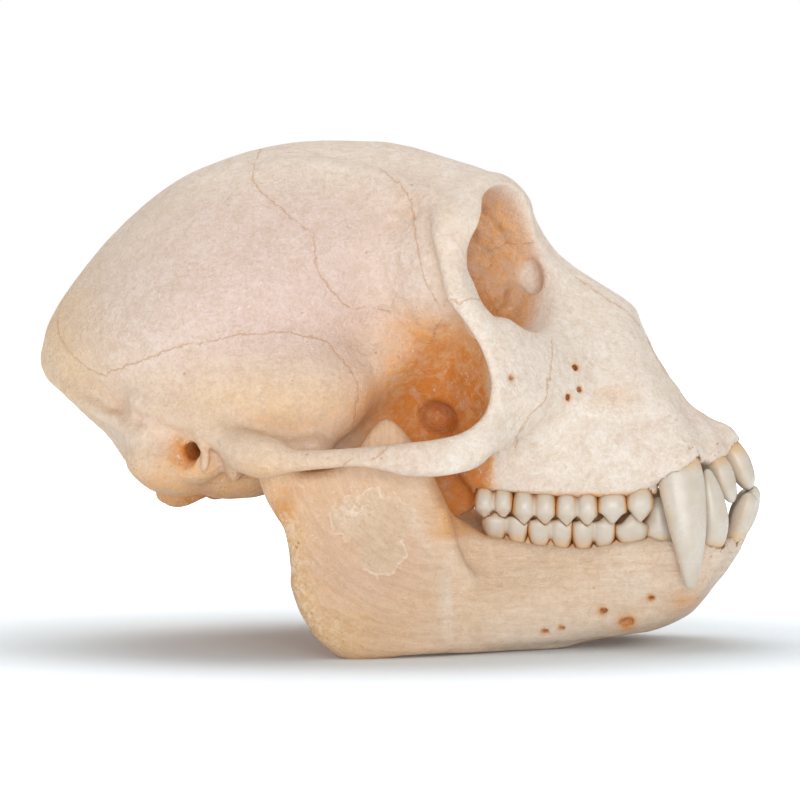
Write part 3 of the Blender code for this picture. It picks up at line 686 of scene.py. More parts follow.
def table_surface(rows):
    """A function of x and z from rows of a height and (x, y) pairs."""
    heights = np.array([height for height, _ in rows], float)

    def at(x, z):
        xs = x[:, 0]
        made = np.array([between(xs, pairs) for _, pairs in rows])
        zs = z[0]
        out = np.empty((len(xs), len(zs)))
        for i in range(len(xs)):
            line = curve_through(np.column_stack([heights, made[:, i]]), 6)
            out[i] = np.interp(zs, line[:, 0], line[:, 1])
        return out

    return at


def brain_half(x, z):
    """Half the braincase's width."""
    return between(x, BRAIN_WIDTH) * (1 - 0.10 * ease(z, 48, 74)) - 4.0 * ease(-z, -36, -20)


def brain_edge(x, z):
    """The braincase is round behind and above, and its front lower edge is tighter."""
    whole = 0.86 * np.minimum(between(x, BRAIN_WIDTH), 25.5)
    return whole - 6 * ease(x, -6, 8) - 10 * ease(x, -31, -23) * ease(-z, -48, -36)


def muzzle_edge(x, z):
    """The muzzle's top edge is round, and the rim round the teeth is not."""
    return 1.0 + (2.0 + 2.5 * ease(x, 30, 40)) * ease(z, 25, 33)


def cheek_thick(x, z):
    """The thickness of the cheek and its arch."""
    low = between(x, [(-28, 2.4), (8, 2.6), (12, 2.7), (14, 3.2), (18, 5.0), (22, 9), (26, 13), (30, 14)])
    return low + (3.4 - low) * ease(z, 46, 52)


def rim_front(x, y, z):
    """Distance in front of the plane of the orbit's rim."""
    return ((x - 17.2) + 0.50 * (y - 15) + 0.19 * (z - 56)) / 1.134


def clipped(shape, plane, blend):
    """The part of a shape behind a plane."""
    return Shape(shape.low, shape.high, lambda x, y, z: meet(shape.at(x, y, z), plane(x, y, z), blend))


def nose_half(x, z):
    """Half the width of the space inside the nose."""
    return (between(z, NOSE_WIDTH) + 2.5 * (1 - ease(x, 20, 34)) * ease(-z, -40, -34)
            - 3 * (1 - ease(x, 0, 14)))


def leaning(value, fall):
    """A distance from the middle that is value at x = 8 and gets less forwards."""
    return lambda x, z: value - fall * (x - 8) + 0 * z


def cranium_solid():
    s = Solid((-56, 0, 14), (54, 36.4, 76))
    cheek_outer = table_surface(CHEEK_WIDTH)
    s.add(plate(BRAINCASE, None, brain_half, brain_edge, soft=2.0), None)
    s.add(ellipsoid((-15, 19.5, 36.5), (12, 6.8, 8.5)), 4)
    add_brow(s)
    orbit_wall = tube([(17.5, 15.2, 55.6), (6, 12.5, 54.2), (-3, 9.0, 52)], [12.0, 10.4, 5.0], 8)
    s.add(clipped(orbit_wall, lambda x, y, z: rim_front(x, y, z) + 1.5, 2.0), 3)
    s.add(tube([(12.8, 24.0, 45.8), (11.5, 24.3, 48.6), (10.6, 24.4, 51.8)], [1.8, 1.7, 1.5]), 1.2)
    s.add(plate(MUZZLE, None, table_surface(FACE_WIDTH), muzzle_edge, soft=0.6), 2.0)
    s.add(plate(SPHENOID, None, table_surface(SPHENOID_WIDTH), flat(4.0), soft=1), 5)
    s.add(plate(CHEEK, lambda x, z: cheek_outer(x, z) - cheek_thick(x, z), cheek_outer, flat(1.4)), 1.5)
    add_base(s)
    add_tooth_roots(s, UPPER_ROOTS)
    s.add(tube([(12.6, 12.1, 23.4), (20, 12.2, 23.0), (28, 12.2, 22.9), (36, 11.8, 23.2)],
               [1.7, 1.8, 1.7, 1.6]), 0.6)
    cut_openings(s)
    for jaw, _, shape in tooth_shapes():
        if jaw == "upper":
            s.cut(grown(shape, TOOTH_GAP), SHARP)
    s.relief = bone_relief
    return s


UPPER_ROOTS = [
    (-12, [((33.6, 8.6, 39.0), 1.6, 1.6), ((36.2, 10.0, 34.5), 2.6, 2.4), ((38.6, 11.3, 30.0), 3.0, 2.7),
           ((40.2, 12.0, 27.2), 3.1, 2.7)], 3.0),
    (-56, [((42.6, 6.4, 31.4), 1.7, 1.9), ((44.6, 6.7, 28.8), 1.9, 2.2), ((45.3, 6.8, 27.7), 2.0, 2.1)], 2.0),
    (-80, [((44.2, 2.2, 32.0), 2.0, 2.0), ((46.4, 2.3, 30.0), 2.3, 2.2), ((47.4, 2.4, 28.9), 2.3, 2.2)], 2.0),
]
LOWER_ROOTS = [
    (-40, [((41.6, 7.5, 8.0), 1.5, 1.7), ((43.7, 8.6, 12.2), 2.2, 2.3), ((44.5, 9.0, 14.0), 2.3, 2.3)], 3.0),
    (-66, [((44.2, 3.9, 10.8), 0.7, 1.0), ((46.5, 4.4, 14.0), 1.3, 1.6)], 2.0),
    (-82, [((45.2, 1.5, 11.2), 0.7, 1.0), ((47.3, 1.6, 14.4), 1.3, 1.5)], 2.0),
]


def add_tooth_roots(s, roots):
    """The swellings of the bone over the roots of the front teeth."""
    for turn, stations, blend in roots:
        s.add(limb(stations, turn, 2.0), blend)


def rough_place(x, y, z):
    """1 round the ear opening and deep in the orbit, where the bone is ragged, and 0 elsewhere."""
    ear = np.exp(-((x + 27.5) / 2.6) ** 2 - ((y - 25.5) / 3.0) ** 2 - ((z - 28.2) / 2.6) ** 2)
    orbit = (ease(-rim_front(x, y, z), 3.0, 6.0) * ease(x, -4, 2) * ease(z, 44, 47) * (1 - ease(z, 62, 66))
             * (1 - ease(y, 21, 23)))
    return np.maximum(ear, orbit)


def bone_relief(x, y, z):
    """The slight unevenness of dry bone."""
    return (0.10 * value_noise(x, y, z, 5.5, 3) + 0.05 * value_noise(x, y, z, 2.2, 4)
            + 0.16 * value_noise(x, y, z, 1.3, 5) * ease(-x, 20, 44) * ease(-z, -42, -28)
            + rough_place(x, y, z) * (0.40 * value_noise(x, y, z, 2.4, 6)
                                      + 0.28 * value_noise(x, y, z, 1.1, 7)))


def add_brow(s):
    """The bar over the eyes and the line that runs back from it."""
    brow = [(15.4, 0, 62.4), (15.8, 5, 63.4), (15.2, 11, 64.4), (13.2, 17.5, 63.6), (10.6, 22.2, 60.6)]
    s.add(tube(brow, [3.0, 2.7, 2.4, 2.3, 2.2]), 4)
    line = [(8.8, 22.4, 61.4), (4.8, 19.6, 63.6), (-1, 16.6, 65.9), (-8, 14.5, 67.4), (-16, 13.5, 67.8)]
    s.add(tube(line, [2.2, 1.5, 0.9, 0.7, 0.5]), 5)


def add_base(s):
    """The arch's root over the ear, the jaw's sockets, the lumps round the ear, and the underside."""
    s.add(tube([(-17, 29.2, 28.4), (-22.0, 26.6, 30.4), (-28, 24.8, 33.2), (-35, 22.4, 35.6)],
               [2.0, 1.6, 1.3, 0.8]), 4)
    s.add(ellipsoid((-16.2, 22.0, 28.3), (6.2, 7.6, 2.1)), 3)
    s.add(ellipsoid((-21.6, 22.4, 27.2), (1.4, 3.0, 2.9)), 1.5)
    s.add(ellipsoid((-10.5, 23.0, 29.2), (2.2, 6.0, 1.8)), 2)
    s.add(ellipsoid((-31.5, 18.6, 26.4), (6.4, 5.0, 4.2), (0, 20, -25)), 5)
    s.add(ellipsoid((-21.5, 13, 25.0), (6.4, 4.6, 3.4), (0, 0, 38)), 4)
    s.add(tube([(-30, 0, 23.6), (-22, 0, 25.0), (-12, 0, 27.6), (-4, 0, 29.5)], [3.0, 3.4, 3.6, 3.6]), 3)
    s.add(ellipsoid((-31.4, 6.8, 22.2), (4.2, 2.4, 2.4), (0, -12, 24)), 1.5)
    s.add(ellipsoid((-26.8, 22.8, 27.6), (3.3, 2.6, 3.3), (0, 0, -20)), 2.0)
    crest = [(-51.4, 0, 41.4), (-49.6, 6, 39.4), (-46.4, 12.6, 36.6), (-41, 18.0, 33.6), (-35, 21.4, 31.0)]
    s.add(tube(crest, [0.9, 0.9, 0.9, 0.9, 0.7]), 3.0)
    s.add(plate(WING_OUT, leaning(9.4, 0.16), leaning(10.8, 0.16), flat(0.7)), 1.2)
    s.add(plate(WING_IN, leaning(5.6, 0.05), leaning(6.9, 0.05), flat(0.6)), 1.2)


def cut_openings(s):
    """The orbits, pits, ear openings, nose, palate, brain space and jaw sockets."""
    s.cut(tube(EYE, [12.6, 10.5, 8.7, 3.4], 8), 1.0)
    s.cut(ellipsoid((19.3, 5.2, 53.3), (1.6, 1.9, 2.7), (0, -12, 0)), 0.8)
    s.cut(ellipsoid((6.2, 13.6, 33.0), (3.0, 5.2, 2.5), (0, 20, 0)), 0.7)
    for x, y, z, size in PITS:
        s.cut(ellipsoid((x, y, z), (size, 0.9, 0.9 * size)), 0.4)
    s.cut(limb([((-28.8, 27.8, 28.4), 1.9, 2.0), ((-27.4, 24.4, 28.6), 1.4, 1.6),
                ((-26.0, 19, 29.2), 1.0, 1.2)], 0), 0.4)
    s.cut(ellipsoid((-30.8, 26.4, 29.0), (3.0, 1.6, 1.3), (0, 18, 0)), 1.0)
    s.add(tube([(-25.6, 25.6, 26.4), (-25.3, 26.2, 28.2), (-25.8, 26.0, 29.8)], [0.5, 0.45, 0.3]), 0.5)
    s.cut(tube([(-34.0, 25.5, 31.4), (-31.0, 24.6, 29.6), (-28.4, 25.4, 27.2)], [0.5, 0.9, 0.8]), 1.2)
    s.cut(plate(NOSE, None, nose_half, flat(1.4), soft=0.6), 0.5)
    s.cut(plate(PALATE, None, lambda x, z: between(x, PALATE_WIDTH) + 0 * z, flat(3.4)), 1.2)
    s.cut(tube([(-33.4, 0, 27), (-34.4, 0, 15)], [5.4, 6.2]), 1.2)
    s.cut(plate(HOLLOW, None, lambda x, z: brain_half(x, z) - BRAIN_WALL,
                lambda x, z: 20 - 8 * ease(x, -16, 4) + 0 * z, soft=2.0), 1.5)
    s.cut(tube([(-14.6, 27, 25.4), (-14.6, 16, 25.8)], [2.9, 2.9]), 1.0)


# The lower jaw.

MANDIBLE = [(-17.7, 25.6), (-17.0, 22.7), (-15.6, 20.2), (-14.5, 18.0), (-13.8, 15.2), (-13.4, 12.4),
            (-12.7, 8.8), (-11.6, 6.0), (-9.9, 3.5), (-8.1, 1.7), (-6.7, 0.7), (-4.8, 0.1), (-2.7, 0.0),
            (-0.5, 0.1), (1.6, 0.2), (5.2, 0.3), (8.8, 0.25), (16.1, 0.05), (23.3, 0.1), (26.9, 0.5),
            (30.5, 1.1), (34.1, 1.3), (36.7, 1.3), (39.7, 2.2), (42.6, 4.0), (45.3, 7.3), (47.4, 10.0),
            (49.3, 12.8), (50.9, 16.0), (50.5, 17.2), (48.8, 16.4), (46.8, 15.2), (44.5, 14.6), (40, 16.0),
            (35.1, 15.9), (31.5, 15.4), (28.0, 14.8), (23.7, 14.8), (19.5, 15.1), (15.9, 15.8), (13.1, 16.5),
            (10.5, 18.2), (8.6, 19.8), (7.6, 21.9), (6.3, 24.9), (3.7, 29.5), (1.4, 32.3), (-0.7, 33.2),
            (-2.7, 31.2), (-4.6, 28.4), (-7.6, 26.5), (-10.6, 26.0), (-13.4, 26.4), (-16, 27.0)]
CHIN = [(-4, 34), (0.5, 36), (1.3, 38.5), (2.2, 40.3), (4, 43.0), (5.4, 44.3), (7.3, 45.8), (10, 47.8),
        (12.8, 49.6), (16.1, 51.2), (20, 52.2)]
CHIN_OUT = [(-6, -6), (-1, -1.6), (0, 1.4), (1.5, 5.0), (4, 9.0), (7, 11.7), (10, 13.2), (14, 14.7),
            (20, 16.5), (28, 18.4), (60, 24)]
CHIN_BACK = [(-4, 33.5), (1, 34), (4, 34.5), (8, 37), (12, 41.5), (16, 45.0), (20, 47)]
CHIN_IN = [(-12, -16), (-6, -8), (-1, -3), (0, 0), (1, 2.8), (3, 4.8), (6, 6.5), (10, 8), (16, 10.2),
           (24, 13.6), (30, 17.0), (60, 26)]
JAW_OUT = [(-22, 27.0), (-14, 27.4), (-6, 27.2), (2, 26), (8, 23.6), (14, 21), (20, 19), (28, 16.8), (36, 14),
           (52, 8)]
JAW_IN = [(-22, 23.6), (-14, 24.0), (-6, 23.8), (2, 21.6), (8, 18.0), (14, 14.6), (20, 12), (28, 9), (36, 6),
          (52, 0)]
GUM_OUT = [(2, 25), (6, 22), (9, 19.4), (12, 17.4), (16, 16.2), (22, 15.3), (28, 14.5), (34, 13.6),
           (38, 12.8), (42, 11), (52, 6)]
GUM_IN = [(2, 20), (6, 15.5), (9, 12.4), (12, 10.6), (16, 9.6), (22, 8.7), (28, 8.1), (34, 7.0), (38, 5.6),
          (42, 4), (52, 0)]
# Its small holes: x, z, half length and half height.
HOLES = [(33.2, 4.0, 1.0, 0.7), (29.8, 5.9, 0.5, 0.42), (36.6, 7.5, 0.42, 0.35), (24.0, 3.6, 0.3, 0.25),
         (21.6, 3.2, 0.3, 0.2)]


def jaw_outer(x, z):
    """How far out the lower jaw's outer face lies."""
    s = between(z, CHIN) - x
    back = ease(s, 8, 26)
    out = between(s, CHIN_OUT) * (1 - back) + between(x, JAW_OUT) * back
    gum = ease(z, 7, 14.5) * ease(x, 4, 12) * (1 - ease(x, 38, 44))
    out = out + (np.minimum(out, between(x, GUM_OUT)) - out) * gum
    lean = -0.12 * (z - 10) * (1 - ease(x, -8, 10)) * ease(z, 6, 14)
    hollow = -0.9 * np.exp(-((x + 2) / 7) ** 2 - ((z - 15) / 6.5) ** 2)
    flare = 0.5 * np.exp(-((x + 7) / 5) ** 2 - ((z - 3) / 3) ** 2)
    return out + lean + hollow + flare


def jaw_side(x, z):
    """The same for one point."""
    return float(jaw_outer(np.array([[x]]), np.array([[z]]))[0, 0])


def jaw_inner(x, z):
    """How far out its inner face lies."""
    r = between(z, CHIN_BACK) - x
    back = ease(r, 24, 36)
    inner = between(r, CHIN_IN) * (1 - back) + between(x, JAW_IN) * back
    gum = ease(z, 6, 13.5) * ease(x, 3, 11) * (1 - ease(x, 36, 42))
    inner = inner + (np.minimum(inner, between(x, GUM_IN)) - inner) * gum
    lean = -0.12 * (z - 10) * (1 - ease(x, -8, 10)) * ease(z, 6, 14)
    return inner + lean + 0.6 * np.exp(-((x + 4) / 7) ** 2 - ((z - 6) / 4) ** 2)


def jaw_edge(x, z):
    """How round its edges are."""
    return (1.5 + 1.7 * ease(x, 2, 16) - 1.0 * ease(z, 10, 14.5) * ease(x, 8, 14) * (1 - ease(x, 36, 42))
            - 1.7 * ease(x, 36, 46))


def mandible_solid():
    s = Solid((-20, 0, -2), (54, 30, 35.6))
    s.add(plate(MANDIBLE, jaw_inner, jaw_outer, jaw_edge), None)
    s.add(ellipsoid((-15.2, 22.3, 26.0), (2.2, 5.0, 1.8)), 1.5)
    s.add(tube([(-15.6, 23.0, 25.6), (-13.6, 24.6, 21.5)], [1.7, 1.4]), 2.5)
    corner = [(-11.8, 26.2, 10.5), (-9.8, 26.4, 6.4), (-7.6, 26.4, 3.8), (-4.6, 26.2, 2.2), (0, 25.2, 2.1)]
    s.add(tube(corner, [1.2, 1.5, 1.7, 1.9, 1.4]), 1.5)
    s.add(tube([(7.2, 22.4, 20.0), (8.4, 22.0, 15.0), (11.0, 20.6, 11.0)], [0.9, 1.0, 0.5]), 3.0)
    s.cut(ellipsoid((33.2, 0, 7.6), (3.0, 3.2, 2.4)), 1.5)
    add_tooth_roots(s, LOWER_ROOTS)
    s.add(tube([(14.4, 12.0, 16.6), (22, 11.5, 15.4), (29, 11.1, 15.2), (36, 10.4, 15.6)],
               [1.3, 1.4, 1.4, 1.2]), 0.6)
    for jaw, _, shape in tooth_shapes():
        if jaw == "lower":
            s.cut(grown(shape, TOOTH_GAP), SHARP)
    for x, z, long, high in HOLES:
        s.cut(ellipsoid((x, jaw_side(x, z), z), (long, 1.7, high), (0, -15, 20)), 0.3)
    s.relief = bone_relief
    return s


# Where each colour lies, as numbers from 0 to 1 at the points of a mesh.

# The sutures, as (x, z) points seen from the side, and at the back as (y, z) points.
SEAMS = [
    [(-19.8, 71.5), (-19.8, 67.0), (-17.5, 64.4), (-14.9, 62.4), (-11.9, 60.0), (-10.6, 59.6), (-10.1, 55.0),
     (-8.9, 52.5), (-6.4, 49.3), (-5.3, 48.6)],
    [(-5.3, 48.6), (-3.1, 48.7), (-0.1, 48.2), (2.1, 46.1), (4.2, 44.0), (5.7, 43.6), (6.4, 45.7),
     (7.4, 46.8)],
    [(-47.5, 38.6), (-41.1, 39.4), (-35.0, 41.2), (-29.0, 43.4), (-23.3, 44.4), (-20.8, 45.0), (-17.2, 45.3),
     (-14.0, 45.5), (-11.9, 44.9), (-8.7, 44.0), (-6.9, 41.9), (-5.5, 40.4), (-4.3, 37.2), (-4.9, 33.3)],
    [(8.1, 49.4), (9.4, 50.0), (10.4, 49.2), (11.4, 50.2), (12.7, 49.9)],
    [(22.6, 43.6), (22.7, 41.5), (22.2, 38.0), (21.9, 35.9), (19.7, 33.7), (18.3, 31.6), (17.6, 29.3)],
    [(34.3, 48.6), (35.6, 46.0), (36.9, 42.4), (39.0, 39.0)],
    [(-6.4, 26.4), (-4.0, 28.4), (-1.5, 28.0), (1.0, 30.4)],
    [(25.6, 53.2), (29.4, 50.6), (32.6, 48.6), (34.6, 46.6)],
    [(-1.8, 68.4), (2.4, 64.8), (3.8, 58.8), (5.0, 53.0), (6.8, 49.4)],
]
ORBIT_SEAMS = [
    [(13.6, 57.0), (15.8, 58.0), (18.6, 57.8), (20.4, 59.2), (21.4, 60.8)],
    [(10.0, 53.4), (12.2, 52.6), (12.8, 50.6), (14.2, 48.6), (15.2, 46.4), (16.6, 44.8)],
]
REAR_SEAMS = [[(0.0, 53.5), (2.5, 52.6), (5, 50.4), (8, 48.6), (11, 45.6), (15, 42.8), (18, 40.0),
               (21, 38.4)]]
EYE = [(31, 22.0, 59.4), (16.5, 15.0, 55.4), (6, 12.2, 54.2), (-2, 9.0, 52)]


def spot(x, z, centre, size):
    """1 at the centre and fading out over this size along x and z."""
    return np.exp(-((x - centre[0]) / size[0]) ** 2 - ((z - centre[1]) / size[1]) ** 2)


def inside(x, z, centre, size):
    """1 at the centre of an oval, 0 on its edge and less outside."""
    return 1 - np.sqrt(((x - centre[0]) / size[0]) ** 2 + ((z - centre[1]) / size[1]) ** 2)


def seam_distance(lines, x, z, reach=3.0):
    """The signed distance from the nearest seam line, and the distance without its sign."""
    best = np.full(x.shape, reach)
    for line in lines:
        points = curve_through(line, 4)
        low, high = points.min(axis=0) - reach, points.max(axis=0) + reach
        near = np.flatnonzero((x > low[0]) & (x < high[0]) & (z > low[1]) & (z < high[1]))
        for a, b in zip(points[:-1], points[1:]):
            e = b - a
            wx, wz = x[near] - a[0], z[near] - a[1]
            t = np.clip((wx * e[0] + wz * e[1]) / max(float(e @ e), 1e-9), 0, 1)
            gone = np.sqrt((wx - t * e[0]) ** 2 + (wz - t * e[1]) ** 2)
            closer = gone < np.abs(best[near])
            side = np.where(e[0] * wz - e[1] * wx < 0, -1.0, 1.0)
            best[near] = np.where(closer, gone * side, best[near])
    return best, np.abs(best)


def hollowness(d, low, step, verts, normals, reach=2.0):
    """How much a surface is closed in, from 0 on a plain to 1 in a hole, and how sharp its ridges are."""
    out = sample(d, low, step, verts + reach * normals)
    within = sample(d, low, step, verts - 0.6 * reach * normals)
    return np.clip((reach - out) / reach, 0, 1), np.clip((0.6 * reach + within) / (0.6 * reach), 0, 1)


def cranium_paint(v, _, hollow, ridge):
    """The cranium's masks. along and across are where the grain runs."""
    x, y, z = v[:, 0], np.abs(v[:, 1]), v[:, 2]
    side = ease(y, 12, 20)
    front = ease(x, 3, 11)
    eye = (ease(-tube(EYE, [13.0, 11.2, 9.6, 4.4], 4).at(x, y, z), -0.3, 0.5)
           * ease(-rim_front(x, y, z), 0.3, 4.0))
    tear = spot(x, z, (19.2, 53.3), (2.0, 3.0))
    inner = ease(-z, -40, -30) * (1 - ease(y, 9.4, 11.5)) * (1 - ease(x, 30, 44)) * ease(x, -36, -20)
    fossa = 0.80 * ease(x, -4, 5) * ease(-z, -52, -41) + 0.60 * ease(x, -10, 0) * ease(-z, -41, -33)
    # Painted shade: more amber round the opening at the back of the fossa.
    fossa = fossa + 0.4 * spot(x, z, (6.0, 33.0), (3.2, 3.2))
    fossa = fossa * ease(-y, -27.5, -24) * (1 - ease(x, 12.5, 15))
    lower = spot(x, z, (-12, 34), (11, 5)) * side * ease(-y, -28, -25)
    # Painted shade: amber in and round the ear opening.
    ear = spot(x, z, (-28.6, 28.4), (2.6, 2.0)) * side
    nose = ease(-y, -5.6, -4.6) * ease(x, 2, 30) * spot(x, z, (34, 38), (14, 7)) * ease(hollow, 0.05, 0.3)
    gum = ease(-z, -23.0, -22.0) * ease(x, 9, 12)
    rear = ease(-x, 34, 52) * ease(-z, -60, -40)
    base = ease(-z, -31, -25) * (1 - ease(x, -12, 2))
    warm = ((0.42 + 0.12 * ease(-z, -54, -48)) * eye * (1 - 0.5 * tear) + fossa + 0.08 * lower + 0.95 * ear
            + 0.7 * nose + 0.5 * inner + 0.55 * base * ease(-z, -30, -20) + 0.6 * gum)
    # Painted shade: amber in and round the small pits.
    for px, py, pz, size in PITS:
        warm += 0.9 * np.exp(-((x - px) ** 2 + (y - py) ** 2 + (z - pz) ** 2) / (1.5 * size) ** 2)
    rosy = spot(x, z, (-17, 50), (23, 18)) * (1 - front) * side
    tan = (rear + 1.0 * spot(x, z, (-17, 35), (18, 6)) + 0.8 * base + 0.35 * ease(-x, 40, 50)
           + 0.3 * spot(x, z, (12, 60), (6, 6)))
    warm += 0.20 * spot(x, z, (31.2, 36.2), (2.8, 1.6)) * (y > 7)
    bar = spot(x, z, (8.5, 56), (4, 10)) * side
    pale = (front * (1 - fossa) * (1 - 0.7 * bar) + 0.5 * ease(z, 64, 70)
            + 0.5 * ridge * (1 - bar)) * (1 - eye)
    porous = spot(x, z, (44, 28.6), (4, 2.4)) + ease(-x, 38, 48) * ease(-z, -42, -34) + 0.5 * base
    seam, far = seam_distance(SEAMS, x, z)
    behind, behind_far = seam_distance(REAR_SEAMS, y, z)
    within, within_far = seam_distance(ORBIT_SEAMS, x, z)
    in_eye = (eye > 0.3) | ((y < 24) & (x > 8) & (x < 13) & (z > 46))
    seam = np.where(in_eye, within, np.where(x < -40, behind, seam))
    far = np.where(in_eye, within_far, np.where(x < -40, behind_far, np.where(y < 3, 3.0, far)))
    chalk = spot(x, z, (29.6, 34.4), (3.2, 1.2)) * (y > 7)
    at_rear = ease(-x, 34, 50)
    return {"warm": np.clip(warm, 0, 1), "rosy": rosy, "chalk": chalk, "tan": np.clip(tan, 0, 1),
            "pale": np.clip(pale, 0, 1), "patch": np.full(x.shape, -1.0), "porous": np.clip(porous, 0, 1),
            "hollow": hollow, "seam": seam, "seam_far": far, "along": x + (y - x) * at_rear,
            "across": z - y * (1 - at_rear)}


# The distance from a suture, in millimetres, of bone that has none.
NO_SEAM = 3.0


def jaw_paint(v, n, hollow, ridge):
    """The lower jaw's masks. Its grain bends round the corner below the condyle."""
    x, z = v[:, 0], v[:, 2]
    outside = ease(n[:, 1] * np.sign(v[:, 1]), -0.1, 0.3)
    masseter = np.clip(spot(x, z, (-2.5, 14.5), (8.5, 8)) * 1.5, 0, 1) * outside
    rear = ease(-x - 0.2 * np.abs(z - 8), 8.5, 12.0) * ease(-z, -22, -18)
    corner = np.clip(spot(x, z, (-8, 3), (6, 4)) + rear, 0, 1)
    # Painted shadow: brown in the notch below the condyle's neck.
    neck_notch_shadow = spot(x, z, (-14.6, 20.4), (1.8, 2.6)) * outside
    chin = ease(x, 38, 46)
    streak = spot(x, z, (8.2, 8.6), (0.8, 4.6)) + 0.8 * spot(x - 0.35 * (17 - z), z, (4.8, 17), (1.1, 5.5))
    flecks = spot(x, z, (34.0, 9.6), (3.4, 2.0))
    brown = spot(x, z, (41.5, 6.8), (2.8, 1.6)) * outside
    gum = ease(z - 0.12 * np.abs(x - 26), 14.3, 15.4) * ease(x, 11, 14) * (1 - ease(x, 38, 40))
    # Painted shade: amber on the bone behind the last molar, below the ramus's front edge.
    retromolar_shade = ease(z, 15.5, 17.5) * ease(x, 4, 8) * (1 - ease(x, 10, 14)) * (1 - ridge)
    warm = (0.25 * (1 - outside) * ease(-z, -20, -8) + 0.18 * (1 - ease(x, 0, 10)) * outside + 0.75 * gum
            + 0.50 * neck_notch_shadow + 0.35 * brown + 0.5 * retromolar_shade)
    # Painted shade: amber in and round the small holes.
    for px, pz, size, _ in HOLES:
        warm += 0.9 * np.exp(-((x - px) ** 2 + (z - pz) ** 2) / (1.3 * size) ** 2) * outside
    pale = (0.8 * chin + 0.3 * ease(x, 8, 20) + 0.6 * spot(x, z, (26, 1.5), (24, 4))
            + (0.9 * streak + 0.7 * flecks) * outside + 0.5 * ridge
            + 0.5 * spot(x, z, (2, 25), (9, 4)) * outside)
    high, low = inside(x, z, (-2.0, 19.2), (5.6, 3.9)), inside(x, z, (-0.9, 14.6), (3.4, 2.8))
    patch = np.where(outside > 0.5, np.maximum(np.maximum(high, low), -1), -1.0)
    porous = np.clip(0.8 * rear + 0.7 * chin + 0.6 * corner + 0.5 * gum, 0, 1)
    chalk = outside * (spot(x, z, (-4.6, 20.8), (2.6, 1.5)) + 0.6 * spot(x, z, (-9.0, 4.0), (4, 3))
                       + 0.6 * rear)
    r = np.hypot(x - 8, z - 30)
    along = np.where(x > 8, x - 8, -18 * np.arctan2(8 - x, np.maximum(30 - z, 0.01)))
    across = np.where(x > 8, 30 - z, np.where(z > 30, 8 - x, r))
    seam = np.full(x.shape, NO_SEAM)
    return {"warm": np.clip(warm, 0, 1), "rosy": masseter, "tan": corner, "pale": np.clip(pale, 0, 1),
            "patch": patch, "chalk": np.clip(chalk, 0, 1), "porous": porous, "hollow": hollow, "seam": seam,
            "seam_far": seam, "along": along, "across": across}


# Meshes in Blender.


def make_object(name, verts, faces, in_field=True):
    """A mesh object. The skull's pieces come in the fields' millimetres, and the floor in metres."""
    mesh = bpy.data.meshes.new(name)
    place = (verts + (SHIFT, 0, 0)) / 1000 if in_field else verts
    mesh.from_pydata(place.tolist(), [], faces.tolist())
    piece = bpy.data.objects.new(name, mesh)
    bpy.context.scene.collection.objects.link(piece)
    return piece


def thinned(piece, most):
    """Replaces the mesh by one with at most this many triangles."""
    count = 2 * len(piece.data.polygons)
    if count > most:
        thin = piece.modifiers.new("thin", "DECIMATE")
        thin.ratio = most / count
        ready = piece.evaluated_get(bpy.context.evaluated_depsgraph_get())
        piece.data = bpy.data.meshes.new_from_object(ready)
        piece.modifiers.clear()


def add_masks(piece, masks):
    """Smooth shading, and one number per vertex for each named mask."""
    for polygon in piece.data.polygons:
        polygon.use_smooth = True
    for name, values in masks.items():
        layer = piece.data.attributes.new(name, "FLOAT", "POINT")
        layer.data.foreach_set("value", values.astype(np.float32))


def hand_over(piece, material, node):
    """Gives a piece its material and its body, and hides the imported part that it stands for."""
    piece.data.materials.append(material)
    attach(piece, "root")
    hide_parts(node)


def finish_mesh(piece, d, low, step, paint):
    """Normals from the field, and the colour masks."""
    verts = np.array([v.co for v in piece.data.vertices]) * 1000 - (SHIFT, 0, 0)
    normals = slope(d, low, step, verts)
    normals /= np.maximum(np.linalg.norm(normals, axis=1, keepdims=True), 1e-9)
    hollow, ridge = hollowness(d, low, step, verts, normals)
    add_masks(piece, paint(verts, normals, hollow, ridge))
    piece.data.normals_split_custom_set_from_vertices(normals.tolist())


def bone_piece(name, node, solid, paint, material, most):
    """Meshes a solid's half, mirrors it, and hands it over as one piece."""
    half = solid.grid(BONE_STEP)
    d, low = mirrored(half, solid.low, BONE_STEP)
    verts, quads = surface_net(d, low, BONE_STEP)
    verts = settle(d, low, BONE_STEP, verts, quads)
    piece = make_object(name, verts, quads)
    thinned(piece, most)
    finish_mesh(piece, d, low, BONE_STEP, paint)
    hand_over(piece, material, node)


def row_direction(verts):
    """The level direction along the tooth row at a front tooth."""
    y = np.abs(verts[:, 1]).mean()
    along = np.array([-0.35, 1.0]) if y < 8 else np.array([-1.0, 0.6])
    return along / np.linalg.norm(along)


def tooth_masks(jaw, name, verts, normals):
    """above is the height over the neck, and between is painted shade: amber on faces that look into the
    gaps.
    """
    way = -1 if jaw == "upper" else 1
    above = verts[:, 2] * way - NECKS[jaw, name] * way
    facing = normals / np.maximum(np.linalg.norm(normals, axis=1, keepdims=True), 1e-9)
    # Painted shade: faces towards the neighbours, the other jaw and the tongue turn amber, as the shadow in
    # the gaps does.
    if "molar" in name:
        meeting = 0.8 * ease(facing[:, 2] * way, 0.6, 0.9)
        tongue_side = 0.55 * ease(-facing[:, 1] * np.sign(verts[:, 1]), 0.1, 0.6)
        gap_shade = np.maximum(np.maximum(ease(np.abs(facing[:, 0]), 0.55, 0.92), meeting), tongue_side)
    else:
        gap_shade = 0.22 * ease(np.abs((facing[:, :2] * row_direction(verts)).sum(axis=1)), 0.75, 0.98)
    return {"above": above, "between": gap_shade}


